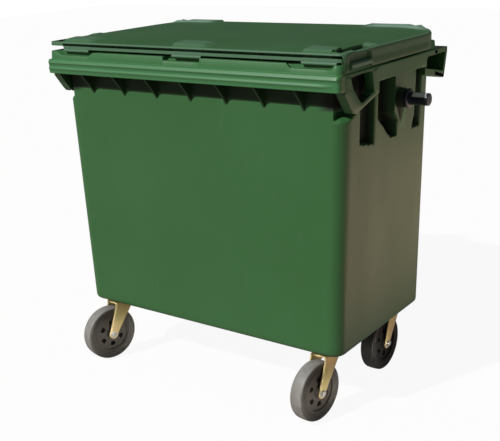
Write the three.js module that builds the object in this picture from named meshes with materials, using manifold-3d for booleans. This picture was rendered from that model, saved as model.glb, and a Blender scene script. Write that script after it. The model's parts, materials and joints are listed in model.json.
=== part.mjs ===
// A four-wheeled waste container of about 660 litres with a hinged flat lid.
// Millimetres, +Z up. Left and right are -X and +X, the front is -Y.
// The origin is on the floor, under the middle of the container's box.
import * as THREE from "three";
import { mergeVertices } from "three/addons/utils/BufferGeometryUtils.js";
import Module from "manifold-3d";

const wasm = await Module();
wasm.setup();

// Shared values
const weldDistance = 0.001;
const seatGap = 0.3;
const overrun = 5;
const hexSides = 6;
const holeSides = 8;
const pinSides = 16;
const wheelSides = 24;
const cornerSteps = 3;

// Castors, which set how high the tub stands. The castor's own frame has its swivel on the z axis.
const castor = {
  sideInset: 86,
  frontInset: 58,
  rearInset: 90,
  wheelRadius: 100,
  tyreWidth: 50,
  tyreDepth: 27,
  tyreRound: 9,
  hubStep: 2,
  webHalfWidth: 9,
  hubRimDepth: 8,
  bossRadius: 25,
  bossClearance: 1,
  trail: 56,
  boltRadius: 6,
  boltHeadRadius: 10,
  boltHeadHeight: 7,
  turningGap: 0.5,
  tyreClearance: 2,
  forkThickness: 5,
  forkTopHalf: 34,
  forkAxleRadius: 19,
  crownClearance: 11,
  crownThickness: 8,
  crownToTub: 9,
  crownRadius: 40,
  raceInset: 3,
  plateHalfX: 59,
  plateHalfY: 44,
  plateThickness: 4,
  boltInsetX: 13,
  boltInsetY: 12,
  plateBoltRadius: 5,
  plateBoltHead: 9,
  plateBoltHeadHeight: 6.5,
  plateBoltHole: 20,
  plateBoltEndGap: 2,
  padEdgeX: 13,
  padEdgeY: 6,
  padRecess: 8,
  padClearance: 3,
  padHeight: 26,
  kingpinRadius: 7,
  kingpinHeadRadius: 13,
  kingpinHeadHeight: 7,
  nutHeight: 8,
  nutRadius: 11,
};
castor.hubWidth = castor.tyreWidth - 2 * castor.hubStep;
castor.forkGap = castor.tyreWidth / 2 + castor.tyreClearance;
castor.bossHalfWidth = castor.forkGap - castor.bossClearance;
castor.crownZ = 2 * castor.wheelRadius + castor.crownClearance;
castor.crownTopZ = castor.crownZ + castor.crownThickness;
castor.raceRadius = castor.crownRadius - castor.raceInset;
castor.boltX = castor.plateHalfX - castor.boltInsetX;
castor.boltY = castor.plateHalfY - castor.boltInsetY;
castor.padHalfX = castor.plateHalfX + castor.padEdgeX;
castor.padHalfY = castor.plateHalfY + castor.padEdgeY;

// Rim band that runs round the mouth, with a narrower ledge on top of it
const rim = {
  halfWidth: 585,
  frontY: -382,
  rearY: 283,
  topZ: 1160,
  bandHeight: 45,
  ledgeHeight: 30,
  cornerRadius: 24,
  outAtSides: 16,
  outAtFront: 59,
  outAtRear: 25,
  ledgeInset: 15,
  wall: 6,
  beadHeight: 7,
  beadDepth: 2.5,
  lowBeadRise: 19,
  lowBeadShort: 18,
  notchDrop: 13,
  notchSide: 14,
  notchDepth: 24,
};
rim.shoulderZ = rim.topZ - rim.ledgeHeight;
rim.bottomZ = rim.shoulderZ - rim.bandHeight;
rim.lowBeadZ = rim.bottomZ + rim.lowBeadRise;
rim.notchZ = rim.topZ - rim.notchDrop;

// Tub, which narrows towards its foot at the sides and widens a little in front and behind
const tub = {
  footInAtSides: 31,
  footOutAtFront: 1,
  footOutAtRear: 4,
  cornerRadius: 45,
  edgeRound: 14,
  wall: 6,
  floor: 8,
};
tub.bottomZ = castor.crownTopZ + castor.crownToTub;
tub.topZ = rim.bottomZ;
tub.topHalfWidth = rim.halfWidth - rim.outAtSides;
tub.topFrontY = rim.frontY + rim.outAtFront;
tub.topRearY = rim.rearY - rim.outAtRear;
tub.bottomHalfWidth = tub.topHalfWidth - tub.footInAtSides;
tub.bottomFrontY = tub.topFrontY - tub.footOutAtFront;
tub.bottomRearY = tub.topRearY + tub.footOutAtRear;

// Places of the castors. A trail angle is that of a wheel behind its swivel, from +X,
// as it stands in the photograph.
const padFaceZ = tub.bottomZ + castor.padRecess;
const castorX = tub.bottomHalfWidth - castor.sideInset;
const castorFrontY = tub.bottomFrontY + castor.frontInset;
const castorRearY = tub.bottomRearY - castor.rearInset;
const castorPlaces = [
  { name: "front_left", x: -castorX, y: castorFrontY, trailDegrees: 254 },
  { name: "front_right", x: castorX, y: castorFrontY, trailDegrees: 262 },
  { name: "rear_left", x: -castorX, y: castorRearY, trailDegrees: 248 },
  { name: "rear_right", x: castorX, y: castorRearY, trailDegrees: 269 },
];

// Upright ribs in the lifting channel under the front of the rim
const comb = {
  count: 7,
  endDistance: 156,
  thickness: 8,
  tipDrop: 64,
};
comb.pitch = (2 * (rim.halfWidth - comb.endDistance)) / (comb.count - 1);

// Recesses round the front corners, where a hand reaches behind the side handles
const cornerRecess = {
  depth: 42,
  drop: 73,
  reach: 222,
};
cornerRecess.bottomZ = rim.bottomZ - cornerRecess.drop;
cornerRecess.rearY = rim.frontY + cornerRecess.reach;

// Side handles near the front corners, hanging from the rim band. A reach is measured back
// from the rim's front, and a drop down from its shoulder.
const frontHandle = {
  thickness: 13,
  barDepth: 30,
  frontReach: 12,
  rearReach: 239,
  lowReach: 82,
  lowDrop: 122,
  rearLowDrop: 76,
  frontLowDrop: 70,
  holeFrontReach: 49,
  holeRearReach: 197,
  holeTopDrop: 4,
  holeLowReach: 114,
  holeLowDrop: 80,
  holeRearLowDrop: 58,
  holeFrontLowDrop: 38,
};

// Rear handles, loops that stand out behind the rear corners
const rearHandle = {
  width: 85,
  wall: 12,
  frontReach: 107,
  rearTopOut: 66,
  rearLowOut: 42,
  topWall: 16,
  lowFrontDrop: 74,
  lowRearDrop: 102,
  barHeight: 23,
  barWidth: 24,
  gussetDrop: 132,
  gussetOut: 17,
};
rearHandle.innerX = rim.halfWidth - rearHandle.width;
rearHandle.frontY = rim.rearY - rearHandle.frontReach;
rearHandle.rearTopY = rim.rearY + rearHandle.rearTopOut;
rearHandle.rearLowY = rim.rearY + rearHandle.rearLowOut;
rearHandle.gussetY = rim.rearY + rearHandle.gussetOut;
rearHandle.topZ = rim.shoulderZ;
rearHandle.lowFrontZ = rim.shoulderZ - rearHandle.lowFrontDrop;
rearHandle.lowRearZ = rim.shoulderZ - rearHandle.lowRearDrop;
rearHandle.gussetLowZ = rim.shoulderZ - rearHandle.gussetDrop;

// Lifting trunnion and the column in the side wall that carries it
const trunnion = {
  behindMiddle: 80.5,
  drop: 154,
  pinLength: 65,
  pinRadius: 20,
  pinChamfer: 4,
  spigotRadius: 12,
  flangeOut: 18,
  flangeRadius: 44,
  flangeThickness: 10,
  columnHalfWidth: 43,
  columnTopGap: 2,
  columnDrop: 125,
  coneDrop: 187,
  coneLowHalfWidth: 14,
  innerReach: 29,
  nutEdge: 8,
  nutThickness: 12,
  spigotOut: 6,
};
trunnion.y = (rim.frontY + rim.rearY) / 2 + trunnion.behindMiddle;
trunnion.z = rim.topZ - trunnion.drop;
trunnion.flangeFaceX = rim.halfWidth + trunnion.flangeOut;
trunnion.pinHalfSpan = trunnion.flangeFaceX + trunnion.pinLength;
trunnion.columnTopZ = rim.bottomZ - trunnion.columnTopGap;
trunnion.columnLowZ = rim.bottomZ - trunnion.columnDrop;
trunnion.coneLowZ = rim.bottomZ - trunnion.coneDrop;
trunnion.innerX = tub.topHalfWidth - trunnion.innerReach;
trunnion.nutRadius = trunnion.spigotRadius + trunnion.nutEdge;

// Upright recesses in each side wall, before and behind the trunnion's column
const sideRecess = {
  topGap: 1,
  grooveDepth: 26,
  pocketDepth: 44,
  grooveFrontAhead: 255,
  grooveRearAhead: 168,
  grooveDrop: 192,
  pocketFrontAhead: 138,
  pocketRearAhead: 53,
  pocketTipAhead: 73,
  pocketCornerDrop: 123,
  pocketTipDrop: 169,
  rearGrooveFrontBehind: 47,
  rearGrooveRearBehind: 145,
};
sideRecess.topZ = rim.bottomZ - sideRecess.topGap;
sideRecess.lowZ = rim.bottomZ - sideRecess.grooveDrop;
sideRecess.grooveFront = [
  trunnion.y - sideRecess.grooveFrontAhead,
  trunnion.y - sideRecess.grooveRearAhead,
];
sideRecess.pocket = [trunnion.y - sideRecess.pocketFrontAhead, trunnion.y - sideRecess.pocketRearAhead];
sideRecess.pocketCornerZ = rim.bottomZ - sideRecess.pocketCornerDrop;
sideRecess.pocketTipY = trunnion.y - sideRecess.pocketTipAhead;
sideRecess.pocketTipZ = rim.bottomZ - sideRecess.pocketTipDrop;
sideRecess.grooveRear = [
  trunnion.y + sideRecess.rearGrooveFrontBehind,
  trunnion.y + sideRecess.rearGrooveRearBehind,
];

// Hinges behind the rear rim
const hinge = {
  sideInset: 210,
  behindRim: 85,
  aboveRim: 5,
  pinRadius: 8,
  pinHeadEdge: 5,
  pinHeadLength: 6,
  clearance: 0.4,
  barrelWall: 7,
  armHalfWidth: 47,
  sideClearance: 2,
  cheekThickness: 14,
  cheekDrop: 72,
};
hinge.x = rim.halfWidth - hinge.sideInset;
hinge.y = rim.rearY + hinge.behindRim;
hinge.z = rim.topZ + hinge.aboveRim;
hinge.pinHeadRadius = hinge.pinRadius + hinge.pinHeadEdge;
hinge.barrelRadius = hinge.pinRadius + hinge.barrelWall;
hinge.cheekLowZ = rim.topZ - hinge.cheekDrop;

// Lid, a crowned tray turned over, with a skirt
const lid = {
  sideOverhang: 5,
  frontSetback: 20,
  rearOverhang: 20,
  cornerRadius: 24,
  wall: 5,
  top: 5,
  skirtDrop: 22,
  lipGap: 6.5,
  lipInset: 5,
  frontCutDepth: 24,
  rearSkirtGap: 13,
  panelEdgeRise: 26,
  edgeRise: 31,
  crownRise: 11,
  crownReach: 150,
  lobeDepth: 65,
  lobeHalfWidth: 110,
  lobeOutside: 50,
  lobeRise: 15,
  humpWidth: 134,
  humpDepth: 46,
  humpRise: 7,
  humpFront: 16,
  gripWidth: 114,
  gripEndDistance: 107,
  gripDip: 3,
  gripDepth: 12,
  gripRecess: 20,
  sideGripFrontReach: 32,
  sideGripRearReach: 166,
  sideGripOut: 4,
  earFrontReach: 103,
  earRearReach: 41,
  earRise: 2,
};
lid.halfWidth = rim.halfWidth + lid.sideOverhang;
lid.frontY = rim.frontY + lid.frontSetback;
lid.rearY = rim.rearY + lid.rearOverhang;
lid.skirtZ = rim.topZ - lid.skirtDrop;
lid.lipZ = rim.topZ + lid.lipGap;
lid.rearSkirtZ = rim.topZ + lid.rearSkirtGap;
lid.panelEdgeZ = rim.topZ + lid.panelEdgeRise;
lid.edgeZ = rim.topZ + lid.edgeRise;
lid.lobeFrontY = lid.rearY - lid.lobeDepth;
lid.lobeX = hinge.x + lid.lobeOutside;
lid.lobeTopZ = lid.edgeZ + lid.lobeRise;
lid.gripPitch = lid.halfWidth - lid.gripEndDistance;
lid.gripLowZ = rim.topZ - lid.gripDip;
lid.sideGripFrontY = lid.frontY + lid.sideGripFrontReach;
lid.sideGripRearY = lid.frontY + lid.sideGripRearReach;
lid.earFrontY = lid.rearY - lid.earFrontReach;
lid.earRearY = lid.rearY - lid.earRearReach;
lid.earZ = rim.topZ + lid.earRise;

// Small parts
const drain = {
  castorDistanceX: 202,
  castorDistanceY: 66,
  holeRadius: 28,
  flangeEdge: 10,
  flangeThickness: 6,
  gripRadius: 15,
  gripHeight: 10,
  clearance: 0.5,
};
drain.x = drain.castorDistanceX - castorX;
drain.y = castorFrontY + drain.castorDistanceY;
drain.flangeRadius = drain.holeRadius + drain.flangeEdge;

const buffer = {
  gripDistance: 183,
  hingeDistance: 175,
  frontReach: 41,
  rearReach: 24,
  radius: 8,
  gapToLid: 0.4,
};
buffer.frontX = lid.gripPitch - buffer.gripDistance;
buffer.rearX = hinge.x - buffer.hingeDistance;
buffer.frontY = rim.frontY + buffer.frontReach;
buffer.rearY = rim.rearY - buffer.rearReach;

const materials = {
  green: new THREE.MeshStandardMaterial({ color: 0x3c693e, roughness: 0.5, metalness: 0 }),
  lidGreen: new THREE.MeshStandardMaterial({ color: 0x406440, roughness: 0.45, metalness: 0 }),
  navy: new THREE.MeshStandardMaterial({ color: 0x20293a, roughness: 0.5, metalness: 0 }),
  zinc: new THREE.MeshStandardMaterial({ color: 0xb59c68, roughness: 0.35, metalness: 0.9 }),
  steel: new THREE.MeshStandardMaterial({ color: 0xb8b8b4, roughness: 0.3, metalness: 1 }),
  tyre: new THREE.MeshStandardMaterial({ color: 0x4a4845, roughness: 0.8, metalness: 0 }),
  hub: new THREE.MeshStandardMaterial({ color: 0x35332f, roughness: 0.6, metalness: 0 }),
  rubber: new THREE.MeshStandardMaterial({ color: 0x222222, roughness: 0.9, metalness: 0 }),
};

const container = new THREE.Group();

// Solids and meshes

function toSolid(geometry) {
  const plain = geometry.clone();
  plain.deleteAttribute("normal");
  plain.deleteAttribute("uv");
  const merged = mergeVertices(plain, weldDistance);
  return new wasm.Manifold(
    new wasm.Mesh({
      numProp: 3,
      vertProperties: merged.attributes.position.array,
      triVerts: new Uint32Array(merged.index.array),
    }),
  );
}

function addPart(name, solid, material, group = container) {
  const mesh = solid.getMesh();
  const geometry = new THREE.BufferGeometry();
  geometry.setAttribute("position", new THREE.BufferAttribute(mesh.vertProperties, 3));
  geometry.setIndex(new THREE.BufferAttribute(mesh.triVerts, 1));
  geometry.computeVertexNormals();
  const part = new THREE.Mesh(geometry, material);
  part.name = name;
  group.add(part);
}

function join(...solids) {
  return solids.reduce((sum, next) => sum.add(next));
}

function cut(solid, ...others) {
  return others.reduce((rest, next) => rest.subtract(next), solid);
}

function box(xs, ys, zs) {
  const size = [xs, ys, zs].map(([a, b]) => Math.abs(b - a));
  const centre = [xs, ys, zs].map(([a, b]) => (a + b) / 2);
  return toSolid(new THREE.BoxGeometry(...size).translate(...centre));
}

// A closed solid between like rings of points, each ring running anticlockwise seen from above.
function loft(rings) {
  const count = rings[0].length;
  const positions = rings.flat().flatMap((p) => [p.x, p.y, p.z]);
  const faces = [];
  for (let r = 0; r + 1 < rings.length; r++) {
    for (let i = 0; i < count; i++) {
      const a = r * count + i;
      const b = r * count + ((i + 1) % count);
      faces.push(a, b, a + count, b, b + count, a + count);
    }
  }
  const flat = (ring) => ring.map((p) => new THREE.Vector2(p.x, p.y));
  const last = (rings.length - 1) * count;
  for (const [a, b, c] of THREE.ShapeUtils.triangulateShape(flat(rings[0]), [])) faces.push(a, c, b);
  for (const [a, b, c] of THREE.ShapeUtils.triangulateShape(flat(rings.at(-1)), [])) {
    faces.push(last + a, last + b, last + c);
  }
  const geometry = new THREE.BufferGeometry();
  geometry.setAttribute("position", new THREE.Float32BufferAttribute(positions, 3));
  geometry.setIndex(faces);
  return toSolid(geometry);
}

// A rectangle with rounded corners, as points at one height.
function roundedRing({ halfWidth, frontY, rearY, radius, z }) {
  const centres = [
    [halfWidth - radius, frontY + radius, -1],
    [halfWidth - radius, rearY - radius, 0],
    [-halfWidth + radius, rearY - radius, 1],
    [-halfWidth + radius, frontY + radius, 2],
  ];
  const points = [];
  for (const [x, y, quarter] of centres) {
    for (let i = 0; i <= cornerSteps; i++) {
      const angle = ((quarter + i / cornerSteps) * Math.PI) / 2;
      points.push(new THREE.Vector3(x + radius * Math.cos(angle), y + radius * Math.sin(angle), z));
    }
  }
  return points;
}

// A prism on an outline of [y, z] points, between two x values.
function prismAlongX(outline, [x0, x1]) {
  const shape = new THREE.Shape(outline.map(([y, z]) => new THREE.Vector2(y, z)));
  const geometry = new THREE.ExtrudeGeometry(shape, { depth: Math.abs(x1 - x0), bevelEnabled: false });
  geometry.rotateX(Math.PI / 2).rotateZ(Math.PI / 2).translate(Math.min(x0, x1), 0, 0);
  return toSolid(geometry);
}

// A prism on an outline of [x, z] points, between two y values.
function prismAlongY(outline, [y0, y1]) {
  const shape = new THREE.Shape(outline.map(([x, z]) => new THREE.Vector2(x, z)));
  const geometry = new THREE.ExtrudeGeometry(shape, { depth: Math.abs(y1 - y0), bevelEnabled: false });
  geometry.rotateX(Math.PI / 2).translate(0, Math.max(y0, y1), 0);
  return toSolid(geometry);
}

function cylinderAlongZ(x, y, [z0, z1], radius, sides = pinSides) {
  const geometry = new THREE.CylinderGeometry(radius, radius, Math.abs(z1 - z0), sides);
  return toSolid(geometry.rotateX(Math.PI / 2).translate(x, y, (z0 + z1) / 2));
}

function cylinderAlongX(y, z, [x0, x1], radius, sides = pinSides) {
  const geometry = new THREE.CylinderGeometry(radius, radius, Math.abs(x1 - x0), sides);
  return toSolid(geometry.rotateZ(Math.PI / 2).translate((x0 + x1) / 2, y, z));
}

// Turns [radius, height] points about the x axis at a place given by y and z.
function turnedAlongX(profile, y, z, sign, sides) {
  const points = profile.map(([radius, x]) => new THREE.Vector2(radius, x));
  const geometry = new THREE.LatheGeometry(points, sides);
  geometry.rotateZ(-Math.PI / 2);
  if (sign < 0) geometry.rotateZ(Math.PI);
  return toSolid(geometry.translate(0, y, z));
}

function mirrored(sign, [a, b]) {
  return sign > 0 ? [a, b] : [-b, -a];
}

// Tub

function tubRing(z, inset) {
  const share = (z - tub.bottomZ) / (tub.topZ - tub.bottomZ);
  const between = (low, high) => low + (high - low) * share;
  return roundedRing({
    halfWidth: between(tub.bottomHalfWidth, tub.topHalfWidth) - inset,
    frontY: between(tub.bottomFrontY, tub.topFrontY) + inset,
    rearY: between(tub.bottomRearY, tub.topRearY) - inset,
    radius: Math.max(tub.cornerRadius - inset, tub.wall),
    z,
  });
}

function tubHalfWidthAt(z) {
  const share = (z - tub.bottomZ) / (tub.topZ - tub.bottomZ);
  return tub.bottomHalfWidth + (tub.topHalfWidth - tub.bottomHalfWidth) * share;
}

function tubBlock(bottomZ, topZ, inset) {
  const roundShares = [0, 0.5, 1];
  const rings = roundShares.map((share) => {
    const angle = (share * Math.PI) / 2;
    const sink = tub.edgeRound * (1 - Math.sin(angle));
    return tubRing(bottomZ + tub.edgeRound * (1 - Math.cos(angle)), inset + sink);
  });
  rings.push(tubRing(topZ, inset));
  return loft(rings);
}

function rimBlock(inset, bottomZ, shoulderZ, topZ) {
  const ring = (side, z) =>
    roundedRing({
      halfWidth: rim.halfWidth - side,
      frontY: rim.frontY + side,
      rearY: rim.rearY - side,
      radius: rim.cornerRadius,
      z,
    });
  const band = loft([ring(inset, bottomZ), ring(inset, shoulderZ)]);
  const ledge = loft([ring(inset + rim.ledgeInset, bottomZ), ring(inset + rim.ledgeInset, topZ)]);
  return join(band, ledge);
}

function frontBead(zMiddle, xs) {
  const half = rim.beadHeight / 2;
  const outline = [
    [rim.frontY + rim.beadDepth, zMiddle - half],
    [rim.frontY + rim.beadDepth, zMiddle + half],
    [rim.frontY - rim.beadDepth, zMiddle + half / 2],
    [rim.frontY - rim.beadDepth, zMiddle - half / 2],
  ];
  return prismAlongX(outline, xs);
}

function combRib(x) {
  const outline = [
    [rim.frontY + rim.wall / 2, rim.shoulderZ - rim.wall],
    [rim.frontY + rim.wall / 2, rim.bottomZ],
    [tub.topFrontY + tub.wall / 2, rim.bottomZ - comb.tipDrop],
    [tub.topFrontY + tub.wall / 2, rim.shoulderZ - rim.wall],
  ];
  return prismAlongX(outline, [x - comb.thickness / 2, x + comb.thickness / 2]);
}

// A notch in the ledge, where fingers reach under a grip of the lid.
function ledgeNotch(x, lining) {
  const half = lid.gripWidth / 2 + rim.notchSide + lining;
  const frontY = rim.frontY + rim.ledgeInset;
  const top = lining > 0 ? rim.topZ - rim.wall / 2 : rim.topZ + overrun;
  return box(
    [x - half, x + half],
    [lining > 0 ? frontY : frontY - overrun, frontY + rim.notchDepth + lining],
    [rim.notchZ - lining, top],
  );
}

// The hollow behind a side handle at a front corner, and the wall that lines it.
function cornerRecessBlock(sign, lining) {
  const innerX = tub.topHalfWidth - cornerRecess.depth - lining;
  const xs = mirrored(sign, [innerX, tub.topHalfWidth + overrun]);
  const ys = [rim.frontY + rim.wall, cornerRecess.rearY + lining];
  return box(xs, ys, [cornerRecess.bottomZ - lining, rim.bottomZ + lining]);
}

function sideOutlineBlock(sign, outline, depth) {
  const middleZ = (sideRecess.topZ + sideRecess.lowZ) / 2;
  const inner = tubHalfWidthAt(middleZ) - depth;
  return prismAlongX(outline, mirrored(sign, [inner, tub.topHalfWidth + overrun]));
}

function grooveOutline([y0, y1], lowZ, grow) {
  return [
    [y0 - grow, sideRecess.topZ + grow],
    [y0 - grow, lowZ - grow],
    [y1 + grow, lowZ - grow],
    [y1 + grow, sideRecess.topZ + grow],
  ];
}

function pocketOutline(grow) {
  const [frontY, rearY] = sideRecess.pocket;
  return [
    [frontY - grow, sideRecess.topZ + grow],
    [frontY - grow, sideRecess.pocketCornerZ - grow],
    [sideRecess.pocketTipY, sideRecess.pocketTipZ - grow],
    [rearY + grow, sideRecess.pocketCornerZ - grow],
    [rearY + grow, sideRecess.topZ + grow],
  ];
}

function rearGrooveOutline(grow) {
  const [frontY, rearY] = sideRecess.grooveRear;
  const middleZ = trunnion.columnLowZ;
  return [
    [frontY - grow, sideRecess.topZ + grow],
    [frontY - grow, middleZ - grow],
    [rearY - sideRecess.grooveDepth, sideRecess.lowZ - grow],
    [rearY + grow, sideRecess.lowZ - grow],
    [rearY + grow, sideRecess.topZ + grow],
  ];
}

function recessPairs(sign) {
  const grooveFront = (grow) => grooveOutline(sideRecess.grooveFront, sideRecess.lowZ, grow);
  const { grooveDepth, pocketDepth } = sideRecess;
  return [
    [grooveFront, grooveDepth],
    [pocketOutline, pocketDepth],
    [rearGrooveOutline, grooveDepth],
  ].map(([outline, depth]) => ({
    hollow: sideOutlineBlock(sign, outline(0), depth),
    lining: sideOutlineBlock(sign, outline(tub.wall), depth + tub.wall),
  }));
}

// The upright column and the tapered foot that carry a trunnion.
function trunnionColumn(sign) {
  const { y, columnHalfWidth, columnTopZ, columnLowZ, coneLowZ, coneLowHalfWidth, innerX } = trunnion;
  const faceX = trunnion.flangeFaceX - trunnion.flangeThickness - seatGap;
  const column = box(
    mirrored(sign, [innerX, rim.halfWidth - rim.wall / 2]),
    [y - columnHalfWidth, y + columnHalfWidth],
    [columnLowZ, columnTopZ],
  );
  const boss = cylinderAlongX(y, trunnion.z, mirrored(sign, [innerX, faceX]), trunnion.flangeRadius);
  const low = [
    [y - columnHalfWidth, columnLowZ + overrun],
    [y - coneLowHalfWidth, coneLowZ],
    [y + coneLowHalfWidth, coneLowZ],
    [y + columnHalfWidth, columnLowZ + overrun],
  ];
  const foot = prismAlongX(low, mirrored(sign, [innerX, rim.halfWidth - rim.wall / 2]));
  return join(column, boss, foot);
}

// A point of a side handle's outline, as reach behind the rim's front and drop below its shoulder.
function handlePoint(reach, drop) {
  return [rim.frontY + reach, rim.shoulderZ - drop];
}

function frontHandlePlate(sign) {
  const h = frontHandle;
  const outer = [
    handlePoint(h.frontReach, 0),
    handlePoint(h.frontReach, h.frontLowDrop),
    handlePoint(h.lowReach - h.thickness, h.lowDrop),
    handlePoint(h.lowReach + h.thickness, h.lowDrop),
    handlePoint(h.rearReach, h.rearLowDrop),
    handlePoint(h.rearReach, 0),
  ];
  return prismAlongX(outer, mirrored(sign, [rim.halfWidth - h.barDepth, rim.halfWidth]));
}

function frontHandleHole(sign, innerX) {
  const h = frontHandle;
  const hole = [
    handlePoint(h.holeFrontReach, h.holeTopDrop),
    handlePoint(h.holeFrontReach, h.holeFrontLowDrop),
    handlePoint(h.holeLowReach, h.holeLowDrop),
    handlePoint(h.holeRearReach, h.holeRearLowDrop),
    handlePoint(h.holeRearReach, h.holeTopDrop),
  ];
  return prismAlongX(hole, mirrored(sign, [innerX, rim.halfWidth + overrun]));
}

function rearHandleLoop(sign) {
  const h = rearHandle;
  const outerX = rim.halfWidth;
  const lowTopRearZ = h.lowRearZ + h.barHeight;
  const lowTopFrontZ = h.lowFrontZ + h.barHeight;
  const top = box(
    mirrored(sign, [h.innerX, outerX]),
    [tub.topRearY - tub.wall, h.rearTopY],
    [h.topZ - h.topWall, h.topZ],
  );
  const back = prismAlongX(
    [
      [h.rearTopY, h.topZ],
      [h.rearTopY - h.wall, h.topZ],
      [h.rearLowY - h.wall, h.lowRearZ],
      [h.rearLowY, h.lowRearZ],
      [h.rearTopY, h.topZ - h.topWall],
    ],
    mirrored(sign, [h.innerX, outerX]),
  );
  const lowBar = prismAlongX(
    [
      [h.frontY, lowTopFrontZ],
      [h.frontY, h.lowFrontZ],
      [h.rearLowY, h.lowRearZ],
      [h.rearLowY, lowTopRearZ],
    ],
    mirrored(sign, [outerX - h.barWidth, outerX]),
  );
  const cheek = prismAlongX(
    [
      [tub.topRearY - tub.wall, h.topZ],
      [tub.topRearY - tub.wall, h.gussetLowZ],
      [h.gussetY, h.gussetLowZ],
      [h.rearLowY, h.lowRearZ],
      [h.rearTopY, h.topZ],
    ],
    mirrored(sign, [h.innerX, h.innerX + h.wall]),
  );
  const floor = prismAlongX(
    [
      [tub.topRearY - tub.wall, h.lowFrontZ + h.wall / 2],
      [tub.topRearY - tub.wall, h.lowFrontZ - h.wall],
      [h.rearLowY, h.lowRearZ],
      [h.rearLowY, h.lowRearZ + h.wall],
    ],
    mirrored(sign, [h.innerX, outerX]),
  );
  return join(top, back, lowBar, cheek, floor);
}

// The opening behind a rear handle's low bar, beside the tub and behind it.
function rearHandleWindow(sign) {
  const h = rearHandle;
  const lowZ = rim.bottomZ - overrun;
  const topZ = h.topZ - h.topWall;
  const beside = box(
    mirrored(sign, [tub.topHalfWidth + seatGap, rim.halfWidth + overrun]),
    [h.frontY + h.wall, tub.topRearY + overrun],
    [lowZ, topZ],
  );
  const behind = box(
    mirrored(sign, [h.innerX + h.wall, rim.halfWidth + overrun]),
    [tub.topRearY + seatGap, rim.rearY + overrun],
    [lowZ, topZ],
  );
  return join(beside, behind);
}

function hingeCheek(x) {
  const outline = [
    [rim.rearY - rim.ledgeInset - rim.wall, rim.topZ],
    [rim.rearY - rim.ledgeInset - rim.wall, hinge.cheekLowZ],
    [hinge.y - hinge.barrelRadius, hinge.z - hinge.barrelRadius],
    [hinge.y, hinge.z - hinge.barrelRadius],
    [hinge.y, hinge.z],
    [hinge.y - hinge.barrelRadius, hinge.z + hinge.pinRadius],
  ];
  const xs = [x - hinge.cheekThickness / 2, x + hinge.cheekThickness / 2];
  return join(prismAlongX(outline, xs), cylinderAlongX(hinge.y, hinge.z, xs, hinge.barrelRadius));
}

const hingeCheekOffset = hinge.armHalfWidth + hinge.sideClearance + hinge.cheekThickness / 2;

function castorPad(x, y) {
  const block = box(
    [x - castor.padHalfX, x + castor.padHalfX],
    [y - castor.padHalfY, y + castor.padHalfY],
    [padFaceZ, padFaceZ + castor.padHeight],
  );
  return block.intersect(tubBlock(tub.bottomZ, rim.topZ, 0));
}

function castorPadRecess(x, y) {
  const grow = castor.padClearance;
  return box(
    [x - castor.plateHalfX - grow, x + castor.plateHalfX + grow],
    [y - castor.plateHalfY - grow, y + castor.plateHalfY + grow],
    [tub.bottomZ - overrun, padFaceZ],
  );
}

function plateBoltPlaces(x, y) {
  const places = [];
  for (const sx of [-1, 1]) {
    for (const sy of [-1, 1]) places.push([x + sx * castor.boltX, y + sy * castor.boltY]);
  }
  return places;
}

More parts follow.
